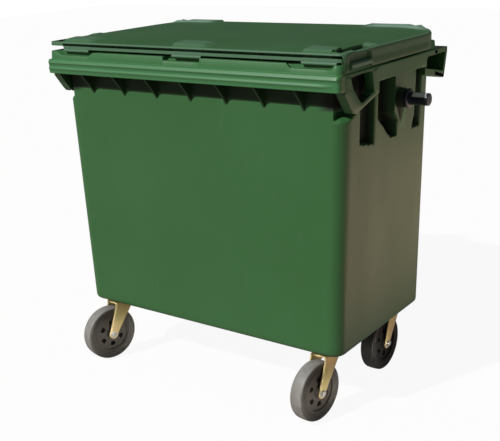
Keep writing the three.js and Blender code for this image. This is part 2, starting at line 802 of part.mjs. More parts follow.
function buildTub() {
  let body = join(
    rimBlock(0, rim.bottomZ, rim.shoulderZ, rim.topZ).subtract(
      rimBlock(rim.wall, rim.bottomZ - overrun, rim.shoulderZ - rim.wall, rim.topZ - rim.wall),
    ),
    tubBlock(tub.bottomZ, rim.topZ, 0),
  );
  const beadEnd = rim.halfWidth - rim.cornerRadius;
  body = body.add(frontBead(rim.shoulderZ - rim.beadHeight / 2, [-beadEnd, beadEnd]));
  body = body.add(frontBead(rim.lowBeadZ, [-beadEnd, beadEnd - rim.lowBeadShort]));
  for (const k of [-1, 0, 1]) body = body.add(ledgeNotch(k * lid.gripPitch, rim.wall));
  for (const k of [-1, 0, 1]) body = body.subtract(ledgeNotch(k * lid.gripPitch, 0));
  for (let i = 0; i < comb.count; i++) body = body.add(combRib((i - (comb.count - 1) / 2) * comb.pitch));
  for (const sign of [-1, 1]) {
    body = body.add(rearHandleLoop(sign));
    body = body.subtract(rearHandleWindow(sign));
    body = body.add(hingeCheek(sign * (hinge.x + hingeCheekOffset)));
    body = body.add(hingeCheek(sign * (hinge.x - hingeCheekOffset)));
  }
  body = body.subtract(tubBlock(tub.bottomZ + tub.floor, rim.topZ + overrun, tub.wall));
  for (const sign of [-1, 1]) {
    const recesses = recessPairs(sign);
    const outside = tubBlock(tub.bottomZ, rim.topZ, 0);
    body = body.add(join(...recesses.map((r) => r.lining)).intersect(outside));
    body = body.add(cornerRecessBlock(sign, tub.wall).intersect(outside));
    body = cut(body, cornerRecessBlock(sign, 0), ...recesses.map((r) => r.hollow));
    body = body.add(trunnionColumn(sign));
    body = body.subtract(frontHandleHole(sign, tubHalfWidthAt(rim.topZ) + seatGap));
    const insideBar = rim.halfWidth - frontHandle.barDepth - overrun;
    body = body.add(frontHandlePlate(sign).subtract(frontHandleHole(sign, insideBar)));
    body = body.subtract(
      cylinderAlongX(
        trunnion.y,
        trunnion.z,
        mirrored(sign, [trunnion.innerX - overrun, trunnion.flangeFaceX]),
        trunnion.spigotRadius + seatGap,
      ),
    );
  }
  for (const place of castorPlaces) {
    body = body.add(castorPad(place.x, place.y)).subtract(castorPadRecess(place.x, place.y));
    for (const [x, y] of plateBoltPlaces(place.x, place.y)) {
      const holeTop = padFaceZ + castor.plateBoltHole;
      body = body.subtract(
        cylinderAlongZ(x, y, [tub.bottomZ, holeTop], castor.plateBoltRadius + seatGap, holeSides),
      );
    }
  }
  const drainHole = [tub.bottomZ - overrun, tub.bottomZ + tub.floor + overrun];
  body = body.subtract(cylinderAlongZ(drain.x, drain.y, drainHole, drain.holeRadius));
  for (const sign of [-1, 1]) {
    for (const side of [-1, 1]) {
      const x = sign * hinge.x + side * hingeCheekOffset;
      const xs = [x - hinge.cheekThickness, x + hinge.cheekThickness];
      body = body.subtract(cylinderAlongX(hinge.y, hinge.z, xs, hinge.pinRadius + hinge.clearance));
    }
  }
  return body;
}

// Lid

function lidRing(z, inset) {
  return roundedRing({
    halfWidth: lid.halfWidth - inset,
    frontY: lid.frontY + inset,
    rearY: lid.rearY - inset,
    radius: lid.cornerRadius,
    z,
  });
}

// The crowned block of the lid, or with a wall and a top thickness the hollow inside it.
function lidBlock(wall, top, bottomZ) {
  const steps = 3;
  const rings = [lidRing(bottomZ, wall), lidRing(lid.edgeZ - top, wall)];
  for (let i = 1; i <= steps; i++) {
    const share = i / steps;
    const rise = lid.crownRise * Math.sin((share * Math.PI) / 2);
    rings.push(lidRing(lid.edgeZ - top + rise, wall + lid.crownReach * share));
  }
  return loft(rings);
}

function lidGrip(x) {
  const xs = [x - lid.gripWidth / 2, x + lid.gripWidth / 2];
  const frontY = lid.frontY + lid.lipInset;
  return box(xs, [frontY, frontY + lid.gripDepth], [lid.gripLowZ, lid.panelEdgeZ]);
}

function lidHump(x) {
  const backY = lid.frontY + lid.humpFront + lid.humpDepth;
  const frontY = lid.frontY + lid.humpFront;
  const base = lid.edgeZ - lid.wall / 2;
  const outline = [
    [frontY, base],
    [backY, base],
    [backY, lid.edgeZ + lid.humpRise],
    [frontY + lid.humpFront, lid.edgeZ + lid.humpRise],
  ];
  return prismAlongX(outline, [x - lid.humpWidth / 2, x + lid.humpWidth / 2]);
}

// The raised lobe over a hinge, and the arm that comes down from it to the barrel.
function lidHingeArm(sign) {
  const lobe = box(
    mirrored(sign, [lid.lobeX - lid.lobeHalfWidth, lid.lobeX + lid.lobeHalfWidth]),
    [lid.lobeFrontY, lid.rearY],
    [lid.edgeZ - lid.wall, lid.lobeTopZ],
  );
  const xs = mirrored(sign, [hinge.x - hinge.armHalfWidth, hinge.x + hinge.armHalfWidth]);
  const outline = [
    [lid.rearY - lid.wall, lid.lobeTopZ],
    [lid.rearY - lid.wall, lid.rearSkirtZ],
    [hinge.y - hinge.barrelRadius, hinge.z - hinge.pinRadius],
    [hinge.y, hinge.z],
    [hinge.y, hinge.z + hinge.barrelRadius],
  ];
  const barrel = cylinderAlongX(hinge.y, hinge.z, xs, hinge.barrelRadius);
  const bore = cylinderAlongX(
    hinge.y,
    hinge.z,
    [xs[0] - overrun, xs[1] + overrun],
    hinge.pinRadius + hinge.clearance,
  );
  return { arm: join(lobe, prismAlongX(outline, xs), barrel), bore };
}

function buildLid() {
  let body = lidBlock(0, 0, lid.skirtZ);
  const wide = [-lid.halfWidth - overrun, lid.halfWidth + overrun];
  const frontCut = box(
    [-lid.halfWidth + lid.wall, lid.halfWidth - lid.wall],
    [lid.frontY - overrun, lid.frontY + lid.frontCutDepth],
    [lid.skirtZ - overrun, lid.lipZ],
  );
  const groove = box(
    [-lid.halfWidth + lid.cornerRadius, lid.halfWidth - lid.cornerRadius],
    [lid.frontY - overrun, lid.frontY + lid.lipInset],
    [lid.skirtZ - overrun, lid.panelEdgeZ],
  );
  const rearCut = box(wide, [tub.topRearY, lid.rearY + overrun], [lid.skirtZ - overrun, lid.rearSkirtZ]);
  body = cut(body, groove, rearCut);
  for (const k of [-1, 0, 1]) body = body.add(lidHump(k * lid.gripPitch));
  const hinges = [-1, 1].map(lidHingeArm);
  body = join(body, ...hinges.map((h) => h.arm));
  body = cut(body, lidBlock(lid.wall + lid.lipInset, lid.top, lid.skirtZ - overrun), frontCut);
  for (const k of [-1, 0, 1]) body = body.add(lidGrip(k * lid.gripPitch));
  for (const sign of [-1, 1]) {
    const sideGrip = box(
      mirrored(sign, [lid.halfWidth - lid.wall, lid.halfWidth + lid.sideGripOut]),
      [lid.sideGripFrontY, lid.sideGripRearY],
      [lid.skirtZ, lid.skirtZ + lid.gripRecess],
    );
    const ear = box(
      mirrored(sign, [lid.halfWidth - lid.wall - lid.lipInset, lid.halfWidth]),
      [lid.earFrontY, lid.earRearY],
      [lid.skirtZ, lid.earZ],
    );
    body = join(body, sideGrip, ear);
  }
  return cut(body, ...hinges.map((h) => h.bore));
}

// Hinge pins

function buildHingePin(sign) {
  const reach = hingeCheekOffset + hinge.cheekThickness / 2;
  const outer = hinge.x + reach + seatGap;
  const shank = cylinderAlongX(
    hinge.y,
    hinge.z,
    mirrored(sign, [hinge.x - reach - hinge.pinHeadLength, outer]),
    hinge.pinRadius,
  );
  const head = cylinderAlongX(
    hinge.y,
    hinge.z,
    mirrored(sign, [outer, outer + hinge.pinHeadLength]),
    hinge.pinHeadRadius,
  );
  return join(shank, head);
}

// Trunnions

function trunnionPin(sign) {
  const t = trunnion;
  const innerEnd = t.innerX - seatGap - t.nutThickness - t.spigotOut;
  const seat = t.flangeFaceX + seatGap;
  const profile = [
    [0, innerEnd],
    [t.spigotRadius, innerEnd],
    [t.spigotRadius, seat],
    [t.pinRadius, seat],
    [t.pinRadius, t.pinHalfSpan - t.pinChamfer],
    [t.pinRadius - t.pinChamfer, t.pinHalfSpan],
    [0, t.pinHalfSpan],
  ];
  return turnedAlongX(profile, t.y, t.z, sign, pinSides);
}

function trunnionFlange(sign) {
  const t = trunnion;
  const back = t.flangeFaceX - t.flangeThickness;
  const profile = [
    [t.spigotRadius + seatGap, back],
    [t.flangeRadius, back],
    [t.flangeRadius, t.flangeFaceX - t.pinChamfer],
    [t.flangeRadius - t.pinChamfer, t.flangeFaceX],
    [t.spigotRadius + seatGap, t.flangeFaceX],
    [t.spigotRadius + seatGap, back],
  ];
  return turnedAlongX(profile, t.y, t.z, sign, pinSides);
}

function trunnionNut(sign) {
  const t = trunnion;
  const outer = t.innerX - seatGap;
  const xs = mirrored(sign, [outer - t.nutThickness, outer]);
  const bore = cylinderAlongX(t.y, t.z, [xs[0] - overrun, xs[1] + overrun], t.spigotRadius + seatGap);
  return cylinderAlongX(t.y, t.z, xs, t.nutRadius, hexSides).subtract(bore);
}

// Castors, each built round its swivel axis with the wheel trailing towards +X

const plateTopZ = padFaceZ - seatGap;
const plateBottomZ = plateTopZ - castor.plateThickness;
const forkOuter = castor.forkGap + castor.forkThickness;

// Turns a closed [radius, y] profile about the wheel's axle.
function turnedAboutAxle(profile) {
  const points = profile.map(([radius, y]) => new THREE.Vector2(radius, y));
  const geometry = new THREE.LatheGeometry(points, wheelSides);
  geometry.rotateY(Math.PI / wheelSides);
  return toSolid(geometry.translate(castor.trail, 0, castor.wheelRadius));
}

function cylinderAboutAxle([y0, y1], radius, sides = pinSides) {
  const geometry = new THREE.CylinderGeometry(radius, radius, Math.abs(y1 - y0), sides);
  return toSolid(geometry.translate(castor.trail, (y0 + y1) / 2, castor.wheelRadius));
}

// Corner radius of a many-sided wheel whose flats touch the true circle, so that it stands on a flat.
const cornerStretch = 1 / Math.cos(Math.PI / wheelSides);

function buildTyre() {
  const outer = castor.wheelRadius * cornerStretch;
  const inner = (castor.wheelRadius - castor.tyreDepth) * cornerStretch;
  const half = castor.tyreWidth / 2;
  const round = castor.tyreRound;
  const innerHalf = castor.hubWidth / 2;
  return turnedAboutAxle([
    [inner, -innerHalf],
    [outer - round, -half],
    [outer - round / 3, -half + round / 3],
    [outer, -half + round],
    [outer, half - round],
    [outer - round / 3, half - round / 3],
    [outer - round, half],
    [inner, innerHalf],
    [inner, -innerHalf],
  ]);
}

function buildHub() {
  const outer = (castor.wheelRadius - castor.tyreDepth - seatGap) * cornerStretch;
  const rimInner = outer - castor.hubRimDepth;
  const half = castor.hubWidth / 2;
  const bore = (castor.boltRadius + castor.turningGap) * cornerStretch;
  return turnedAboutAxle([
    [bore, -castor.bossHalfWidth],
    [castor.bossRadius, -castor.bossHalfWidth],
    [castor.bossRadius, -castor.webHalfWidth],
    [rimInner, -castor.webHalfWidth],
    [rimInner, -half],
    [outer, -half],
    [outer, half],
    [rimInner, half],
    [rimInner, castor.webHalfWidth],
    [castor.bossRadius, castor.webHalfWidth],
    [castor.bossRadius, castor.bossHalfWidth],
    [bore, castor.bossHalfWidth],
    [bore, -castor.bossHalfWidth],
  ]);
}

function forkLeg([y0, y1]) {
  const { trail, wheelRadius, forkAxleRadius, forkTopHalf, crownZ } = castor;
  const fromDegrees = 195;
  const toDegrees = 352;
  const steps = 8;
  const outline = [
    [forkTopHalf, castor.crownTopZ],
    [-forkTopHalf, castor.crownTopZ],
    [-forkTopHalf, crownZ - castor.crownThickness],
  ];
  for (let i = 0; i <= steps; i++) {
    const angle = THREE.MathUtils.degToRad(fromDegrees + ((toDegrees - fromDegrees) * i) / steps);
    const reach = [forkAxleRadius * Math.cos(angle), forkAxleRadius * Math.sin(angle)];
    outline.push([trail + reach[0], wheelRadius + reach[1]]);
  }
  outline.push([forkTopHalf + castor.crownThickness, crownZ - castor.crownThickness]);
  return prismAlongY(outline, [y0, y1]);
}

function buildFork() {
  const bridge = box(
    [-castor.forkTopHalf, castor.forkTopHalf],
    [-forkOuter, forkOuter],
    [castor.crownZ, castor.crownTopZ],
  );
  const crown = cylinderAlongZ(0, 0, [castor.crownZ, castor.crownTopZ], castor.crownRadius);
  const legs = [forkLeg([castor.forkGap, forkOuter]), forkLeg([-forkOuter, -castor.forkGap])];
  const kingpinHole = cylinderAlongZ(
    0,
    0,
    [castor.crownZ - overrun, castor.crownTopZ + overrun],
    castor.kingpinRadius + castor.turningGap,
  );
  const acrossFork = [-forkOuter - overrun, forkOuter + overrun];
  const axleHole = cylinderAboutAxle(acrossFork, castor.boltRadius + seatGap);
  return cut(join(bridge, crown, ...legs), kingpinHole, axleHole);
}

function buildPlate() {
  const plate = box(
    [-castor.plateHalfX, castor.plateHalfX],
    [-castor.plateHalfY, castor.plateHalfY],
    [plateBottomZ, plateTopZ],
  );
  const race = cylinderAlongZ(0, 0, [castor.crownTopZ + seatGap, plateBottomZ + seatGap], castor.raceRadius);
  const holes = plateBoltPlaces(0, 0).map(([x, y]) =>
    cylinderAlongZ(
      x,
      y,
      [plateBottomZ - overrun, plateTopZ + overrun],
      castor.plateBoltRadius + seatGap,
      holeSides,
    ),
  );
  const kingpinHole = cylinderAlongZ(
    0,
    0,
    [castor.crownZ, plateTopZ + overrun],
    castor.kingpinRadius + seatGap,
  );
  return cut(join(plate, race), kingpinHole, ...holes);
}

function buildKingpin() {
  const headTop = castor.crownZ - seatGap;
  const headBottom = headTop - castor.kingpinHeadHeight;
  const shank = cylinderAlongZ(0, 0, [headTop - seatGap, plateTopZ], castor.kingpinRadius);
  return join(shank, cylinderAlongZ(0, 0, [headBottom, headTop], castor.kingpinHeadRadius, hexSides));
}

function buildAxleBolt() {
  const seat = forkOuter + seatGap;
  const end = -seat - castor.nutHeight - castor.turningGap;
  const shank = cylinderAboutAxle([end, seat + seatGap], castor.boltRadius);
  const head = cylinderAboutAxle([seat, seat + castor.boltHeadHeight], castor.boltHeadRadius, hexSides);
  return join(shank, head);
}

function buildAxleNut() {
  const seat = forkOuter + seatGap;
  const nut = cylinderAboutAxle([-seat - castor.nutHeight, -seat], castor.nutRadius, hexSides);
  const bore = cylinderAboutAxle([-seat - castor.nutHeight - overrun, 0], castor.boltRadius + seatGap);
  return nut.subtract(bore);
}

function buildPlateBolt(x, y) {
  const headTop = plateBottomZ - seatGap;
  const headLow = headTop - castor.plateBoltHeadHeight;
  const head = cylinderAlongZ(x, y, [headLow, headTop], castor.plateBoltHead, hexSides);
  const tip = padFaceZ + castor.plateBoltHole - castor.plateBoltEndGap;
  return join(head, cylinderAlongZ(x, y, [headTop - seatGap, tip], castor.plateBoltRadius, holeSides));
}

function addCastor({ name, x, y, trailDegrees }) {
  const swivel = new THREE.Group();
  swivel.position.set(x, y, 0);
  swivel.rotation.z = THREE.MathUtils.degToRad(trailDegrees);
  const fixed = new THREE.Group();
  fixed.position.set(x, y, 0);
  container.add(swivel, fixed);
  addPart("castor_plate_" + name, buildPlate(), materials.zinc, fixed);
  addPart("kingpin_" + name, buildKingpin(), materials.steel, fixed);
  addPart("fork_" + name, buildFork(), materials.zinc, swivel);
  addPart("axle_bolt_" + name, buildAxleBolt(), materials.steel, swivel);
  addPart("axle_nut_" + name, buildAxleNut(), materials.steel, swivel);
  addPart("wheel_hub_" + name, buildHub(), materials.hub, swivel);
  addPart("tyre_" + name, buildTyre(), materials.tyre, swivel);
  plateBoltPlaces(0, 0).forEach(([bx, by], i) => {
    addPart("plate_bolt_" + name + "_" + (i + 1), buildPlateBolt(bx, by), materials.steel, fixed);
  });
}

// Drain plug and lid buffers

function buildDrainPlug() {
  const flangeTop = tub.bottomZ - seatGap;
  const flangeLow = flangeTop - drain.flangeThickness;
  const plugTop = tub.bottomZ + tub.floor;
  const plug = cylinderAlongZ(drain.x, drain.y, [flangeLow, plugTop], drain.holeRadius - drain.clearance);
  const flange = cylinderAlongZ(drain.x, drain.y, [flangeLow, flangeTop], drain.flangeRadius);
  const grip = cylinderAlongZ(
    drain.x,
    drain.y,
    [flangeLow - drain.gripHeight, flangeLow + seatGap],
    drain.gripRadius,
    hexSides,
  );
  return join(plug, flange, grip);
}

function buildBuffer(x, y) {
  const top = lid.edgeZ - lid.top - buffer.gapToLid;
  return cylinderAlongZ(x, y, [rim.topZ + seatGap, top], buffer.radius, holeSides);
}

addPart("tub", buildTub(), materials.green);
addPart("lid", buildLid(), materials.lidGreen);
for (const [side, sign] of [
  ["left", -1],
  ["right", 1],
]) {
  addPart("hinge_pin_" + side, buildHingePin(sign), materials.steel);
  addPart("trunnion_pin_" + side, trunnionPin(sign), materials.navy);
  addPart("trunnion_flange_" + side, trunnionFlange(sign), materials.navy);
  addPart("trunnion_nut_" + side, trunnionNut(sign), materials.steel);
  addPart("lid_buffer_front_" + side, buildBuffer(sign * buffer.frontX, buffer.frontY), materials.rubber);
  addPart("lid_buffer_rear_" + side, buildBuffer(sign * buffer.rearX, buffer.rearY), materials.rubber);
}
addPart("drain_plug", buildDrainPlug(), materials.green);
castorPlaces.forEach(addCastor);

// The origin goes to the floor, under the middle of the container's box.
container.updateMatrixWorld(true);
const bounds = new THREE.Box3().setFromObject(container, true);
const middle = bounds.getCenter(new THREE.Vector3());
for (const child of container.children) {
  child.position.x -= middle.x;
  child.position.y -= middle.y;
  child.position.z -= bounds.min.z;
}

export default container;
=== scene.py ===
# %% [markdown]
# # A wheeled waste container
#
# The container is a tub and a lid of moulded green plastic on four swivel castors.
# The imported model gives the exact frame: where each part is and how it moves.
# This lesson dresses that frame with rounded, finished surfaces. Each surface is a formula
# worked out with numpy on a grid of two parameters, and its main sizes have names.

import json
import math

import bmesh
import bpy
import numpy as np
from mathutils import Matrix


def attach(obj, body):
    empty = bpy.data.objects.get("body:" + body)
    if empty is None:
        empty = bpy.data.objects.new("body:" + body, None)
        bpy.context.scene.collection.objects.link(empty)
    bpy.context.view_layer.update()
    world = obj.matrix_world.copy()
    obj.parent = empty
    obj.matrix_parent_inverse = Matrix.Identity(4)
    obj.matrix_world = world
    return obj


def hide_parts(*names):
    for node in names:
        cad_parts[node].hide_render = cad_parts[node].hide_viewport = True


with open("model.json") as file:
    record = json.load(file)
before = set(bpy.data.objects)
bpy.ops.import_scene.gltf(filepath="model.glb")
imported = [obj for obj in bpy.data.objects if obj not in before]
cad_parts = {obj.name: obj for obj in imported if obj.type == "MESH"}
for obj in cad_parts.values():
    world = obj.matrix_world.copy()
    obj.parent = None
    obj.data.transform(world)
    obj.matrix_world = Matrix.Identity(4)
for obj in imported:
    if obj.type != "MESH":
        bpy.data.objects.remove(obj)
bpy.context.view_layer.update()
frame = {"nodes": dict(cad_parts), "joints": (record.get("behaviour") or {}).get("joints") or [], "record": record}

# %% [markdown]
# Sizes are in millimetres of the part's drawing, where the hinge line lies 368 mm behind
# the origin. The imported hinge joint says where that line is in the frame, and the difference
# moves every drawn point to its place.

# %% From the drawing to the frame
MM = 0.001
HINGE_Y = 368
HINGE_Z = 1165
hinge_joint = next(j for j in frame["joints"] if j["name"] == "lid_hinge")
DRAWING_SHIFT = np.array([0, hinge_joint["pos_m"][1] / MM - HINGE_Y, 0])


def in_frame(points):
    """Millimetres of the drawing to metres of the frame."""
    return (np.asarray(points, float) + DRAWING_SHIFT) * MM


print("the drawing moves by", DRAWING_SHIFT.round(3), "mm")

# %% [markdown]
# The camera stands where the photographer stood, in front and to the right, a little above
# the lid. Its turn, height and roll were worked out from straight edges of the container.


# %% The camera
def new_object(name, data):
    """An object that holds this data, in the scene."""
    made = bpy.data.objects.new(name, data)
    bpy.context.scene.collection.objects.link(made)
    return made


def stand(thing, right, up, back, place):
    """Puts a camera or a lamp at a place in metres, with its own axes along these three."""
    axes = np.eye(4)
    axes[:3] = np.stack([right, up, back, place], -1)
    thing.matrix_world = axes.T.tolist()


AIM = np.array([-347.7, 453.7, 342.7])
DISTANCE = 3946
AZIMUTH, ELEVATION, ROLL = np.radians([35.94, 17.45, -2.49])
FOCAL_PIXELS = 917.4
PICTURE_WIDTH = 500
SENSOR_WIDTH = 36

away = np.array([
    math.sin(AZIMUTH) * math.cos(ELEVATION),
    -math.cos(AZIMUTH) * math.cos(ELEVATION),
    math.sin(ELEVATION),
])
level = np.cross(-away, [0, 0, 1])
level /= np.linalg.norm(level)
upright = np.cross(level, -away)
right = math.cos(ROLL) * level + math.sin(ROLL) * upright
up = math.cos(ROLL) * upright - math.sin(ROLL) * level

lens = bpy.data.cameras.new("camera")
lens.sensor_width = SENSOR_WIDTH
lens.lens = FOCAL_PIXELS * SENSOR_WIDTH / PICTURE_WIDTH
lens.clip_end = 60
camera = new_object("camera", lens)
camera_place = in_frame(AIM + DISTANCE * away)
stand(camera, right, up, away, camera_place)
bpy.context.scene.camera = camera
print("lens", round(lens.lens, 2), "mm, camera at", camera_place.round(3))

# %% [markdown]
# Shader maths reads better as Python than as a list of nodes. A `Value` wraps one socket,
# and each operator on it adds the Math node that does the sum. `Nodes` is a node tree under
# construction. A `Finish` is the tree of one material, with a method for each kind of node
# that the finishes share.


# %% Shader expressions
class Value:
    """A socket of a node tree, on which Python's operators add Math nodes."""

    def __init__(self, nodes, socket):
        self.nodes = nodes
        self.socket = socket

    def _math(self, operation, first, second):
        return self.nodes.value("ShaderNodeMath", {"operation": operation}, {0: first, 1: second})

    def __add__(self, other):
        return self._math("ADD", self, other)

    __radd__ = __add__

    def __sub__(self, other):
        return self._math("SUBTRACT", self, other)

    def __rsub__(self, other):
        return self._math("SUBTRACT", other, self)

    def __mul__(self, other):
        return self._math("MULTIPLY", self, other)

    __rmul__ = __mul__

    def above(self, edge, width):
        """0 below the edge and 1 above it, with a straight slope of that width."""
        settings = {"clamp": True}
        inputs = {0: self, 1: edge - width / 2, 2: edge + width / 2}
        return self.nodes.value("ShaderNodeMapRange", settings, inputs)


class Nodes:
    """The node tree of a material or a world, empty at first."""

    def __init__(self, owner):
        owner.use_nodes = True
        self.tree = owner.node_tree
        self.tree.nodes.clear()

    def node(self, kind, settings=None, inputs=None):
        made = self.tree.nodes.new(kind)
        for key, setting in (settings or {}).items():
            setattr(made, key, setting)
        for key, given in (inputs or {}).items():
            if isinstance(given, Value):
                self.tree.links.new(given.socket, made.inputs[key])
            else:
                made.inputs[key].default_value = given
        return made

    def value(self, kind, settings=None, inputs=None, output=0):
        return Value(self, self.node(kind, settings, inputs).outputs[output])


class Finish(Nodes):
    """A node material round one Principled shader."""

    def __init__(self, name):
        self.material = bpy.data.materials.new(name)
        super().__init__(self.material)
        self.shader = self.node("ShaderNodeBsdfPrincipled")
        self.out = self.node("ShaderNodeOutputMaterial")
        self.tree.links.new(self.shader.outputs[0], self.out.inputs[0])
        self.place = self.value("ShaderNodeTexCoord", output="Object")

    def noise(self, scale, detail=2, stretch=(1, 1, 1)):
        """Clouds of about 1 / scale metres, drawn out along the axes where stretch is small."""
        placed = self.value("ShaderNodeMapping", {}, {"Vector": self.place, "Scale": stretch})
        return self.value("ShaderNodeTexNoise", {}, {"Vector": placed, "Scale": scale, "Detail": detail})

    def mark(self, name):
        """A number that the mesh carries at each point, and 0 where it carries none."""
        return self.value("ShaderNodeAttribute", {"attribute_name": name}, output="Fac")

    def blend(self, share, first, second):
        inputs = {0: share, 6: first, 7: second}
        return self.value("ShaderNodeMix", {"data_type": "RGBA"}, inputs, output=2)

    def bump(self, height, depth, strength=1):
        """Tilts the surface as the height says, depth metres deep."""
        inputs = {"Height": height, "Distance": depth, "Strength": strength}
        return self.value("ShaderNodeBump", {}, inputs)

    def set(self, **inputs):
        for key, given in inputs.items():
            name = key.replace("_", " ")
            if isinstance(given, Value):
                self.tree.links.new(given.socket, self.shader.inputs[name])
            else:
                self.shader.inputs[name].default_value = given
        return self.material


def paint(red, green, blue):
    """A colour as the eye reads it, 0 to 255, in the shader's own linear scale."""
    share = np.array([red, green, blue]) / 255
    linear = np.where(share <= 0.04045, share / 12.92, ((share + 0.055) / 1.055) ** 2.4)
    return (*linear.tolist(), 1)


def darker(colour, share):
    """A share of a linear colour."""
    return (*[share * c for c in colour[:3]], 1)


print("a mid grey of 128 is", round(paint(128, 128, 128)[0], 3), "in linear light")

# %% [markdown]
# The tub and the lid are polyethylene, pressed into a steel mould. The surface has a satin
# gloss with a very fine grain, faint clouds where the plastic cooled unevenly, and a dusting
# of pale scuffs. All of it follows Object coordinates, so it stays put when the lid swings.
# An attribute on the mesh paints light into the colour: above 0 a painted highlight, where the
# plastic turns paler, and below 0 painted shade, where it turns nearly black.


# %% Moulded plastic
DUST = 0.3


def moulded_plastic(name, colour, cloudy, painted_highlight, gloss, shine=0.5):
    colour, cloudy, painted_highlight = paint(*colour), paint(*cloudy), paint(*painted_highlight)
    finish = Finish(name)
    shade = finish.mark("shade")
    # Painted shade: the share that darkens the colour and dulls the gloss.
    hollow = (0 - shade).above(0.5, 1)
    clouds = finish.noise(2.6, 4)
    drift = finish.noise(7, 3, (1, 1, 0.35))
    grain = finish.noise(620, 2)
    scuffs = finish.noise(46, 5, (1, 1, 0.22)).above(0.68, 0.12)
    tint = finish.blend(clouds.above(0.5, 0.3), colour, cloudy)
    dusty = (*[0.8 * c + 0.2 * DUST for c in colour[:3]], 1)
    tint = finish.blend(scuffs * 0.22, tint, dusty)
    # Painted highlight where the attribute is above 0, painted shade where it is below 0.
    tint = finish.blend(shade.above(0.5, 1), tint, painted_highlight)
    tint = finish.blend(hollow, tint, darker(colour, 0.06))
    rough = gloss + (drift - 0.5) * 0.16 + (grain - 0.5) * 0.1 + scuffs * 0.1 + hollow * 0.4
    normal = finish.bump(grain, 0.00012, 0.35)
    return finish.set(Base_Color=tint, Roughness=rough, Normal=normal, Specular_IOR_Level=shine)


# The third colour of each plastic is the colour of its painted highlight.
body_green = moulded_plastic("body green", (51, 101, 54), (55, 105, 59), (78, 148, 96), 0.44)
lid_green = moulded_plastic("lid green", (50, 92, 53), (57, 99, 60), (126, 158, 140), 0.44, 0.25)
# The navy's near white third colour is the peg's painted highlight.
navy_plastic = moulded_plastic("navy plastic", (22, 29, 46), (28, 37, 56), (236, 238, 240), 0.3)
print("plastic finishes made")

# %% [markdown]
# The forks and plates are pressed steel with a yellow zinc passivation: a metal whose tint
# drifts between straw, olive and a little pink. Bolts and pins are bright zinc.


# %% Zinc and steel
def plated_steel(name, colours, gloss):
    finish = Finish(name)
    straw, olive, rose = colours
    drift = finish.noise(16, 3)
    patches = finish.noise(34, 2, (1, 1, 0.4))
    grain = finish.noise(700, 1, (1, 1, 0.08))
    tint = finish.blend(drift.above(0.5, 0.25), straw, olive)
    tint = finish.blend(patches.above(0.6, 0.2) * 0.6, tint, rose)
    rough = gloss + (drift - 0.5) * 0.14 + (grain - 0.5) * 0.14
    normal = finish.bump(grain, 0.00006, 0.3)
    return finish.set(Base_Color=tint, Metallic=0.25, Roughness=rough, Normal=normal)


zinc_colours = (paint(232, 208, 150), paint(216, 202, 138), paint(232, 200, 160))
yellow_zinc = plated_steel("yellow zinc", zinc_colours, 0.42)
steel_colours = (paint(196, 196, 192), paint(180, 181, 178), paint(204, 200, 192))
bright_steel = plated_steel("bright steel", steel_colours, 0.3)
print("metal finishes made")

# %% [markdown]
# The tyres are solid rubber. The tread that rolls on the ground is scuffed to a pale grey,
# while the sides stay dark. A `worn` attribute on the mesh, 1 on the tread and 0 on the
# sides, says where, so the wear follows the wheel when it turns. The rear tyres get painted
# shade all over, from an attribute as on the plastic.


# %% Rubber and wheel plastic
def worn_rubber(name, dark, pale):
    finish = Finish(name)
    worn, shade = finish.mark("worn"), finish.mark("shade")
    smears = finish.noise(30, 4)
    grain = finish.noise(420, 2)
    tint = finish.blend(worn * (0.62 + (smears - 0.5) * 0.8), dark, pale)
    # Painted shade where the attribute is below 0, on the rear tyres.
    tint = finish.blend((0 - shade).above(0.5, 1), tint, darker(dark, 0.12))
    rough = 0.62 + (grain - 0.5) * 0.2 - worn * 0.1
    normal = finish.bump(grain, 0.0002, 0.5)
    return finish.set(Base_Color=tint, Roughness=rough, Normal=normal)


grey_tyre = worn_rubber("grey tyre", paint(82, 80, 76), paint(158, 156, 152))
black_rubber = worn_rubber("black rubber", paint(34, 34, 34), paint(60, 60, 60))
dark_hub = moulded_plastic("dark hub", (70, 66, 61), (80, 75, 70), (110, 105, 100), 0.5)
print("rubber finishes made")

# %% [markdown]
# A `Shape` gathers grids of points and flat caps into one mesh. A grid is an array of rows
# and columns of points, and its faces join each point to its neighbours. Closed shapes get
# their faces turned outwards once they are whole.


# %% Making meshes
def smooth_step(value, edge, width):
    """0 below the edge and 1 above it, with a soft slope of that width."""
    share = np.clip((value - edge) / width + 0.5, 0, 1)
    return share * share * (3 - 2 * share)


def below(value, edge, width):
    """1 below the edge and 0 above it, with a soft slope of that width."""
    return 1 - smooth_step(value, edge, width)


def window(value, low, high, width):
    """1 between low and high, 0 outside, with soft slopes."""
    return smooth_step(value, low, width) * below(value, high, width)


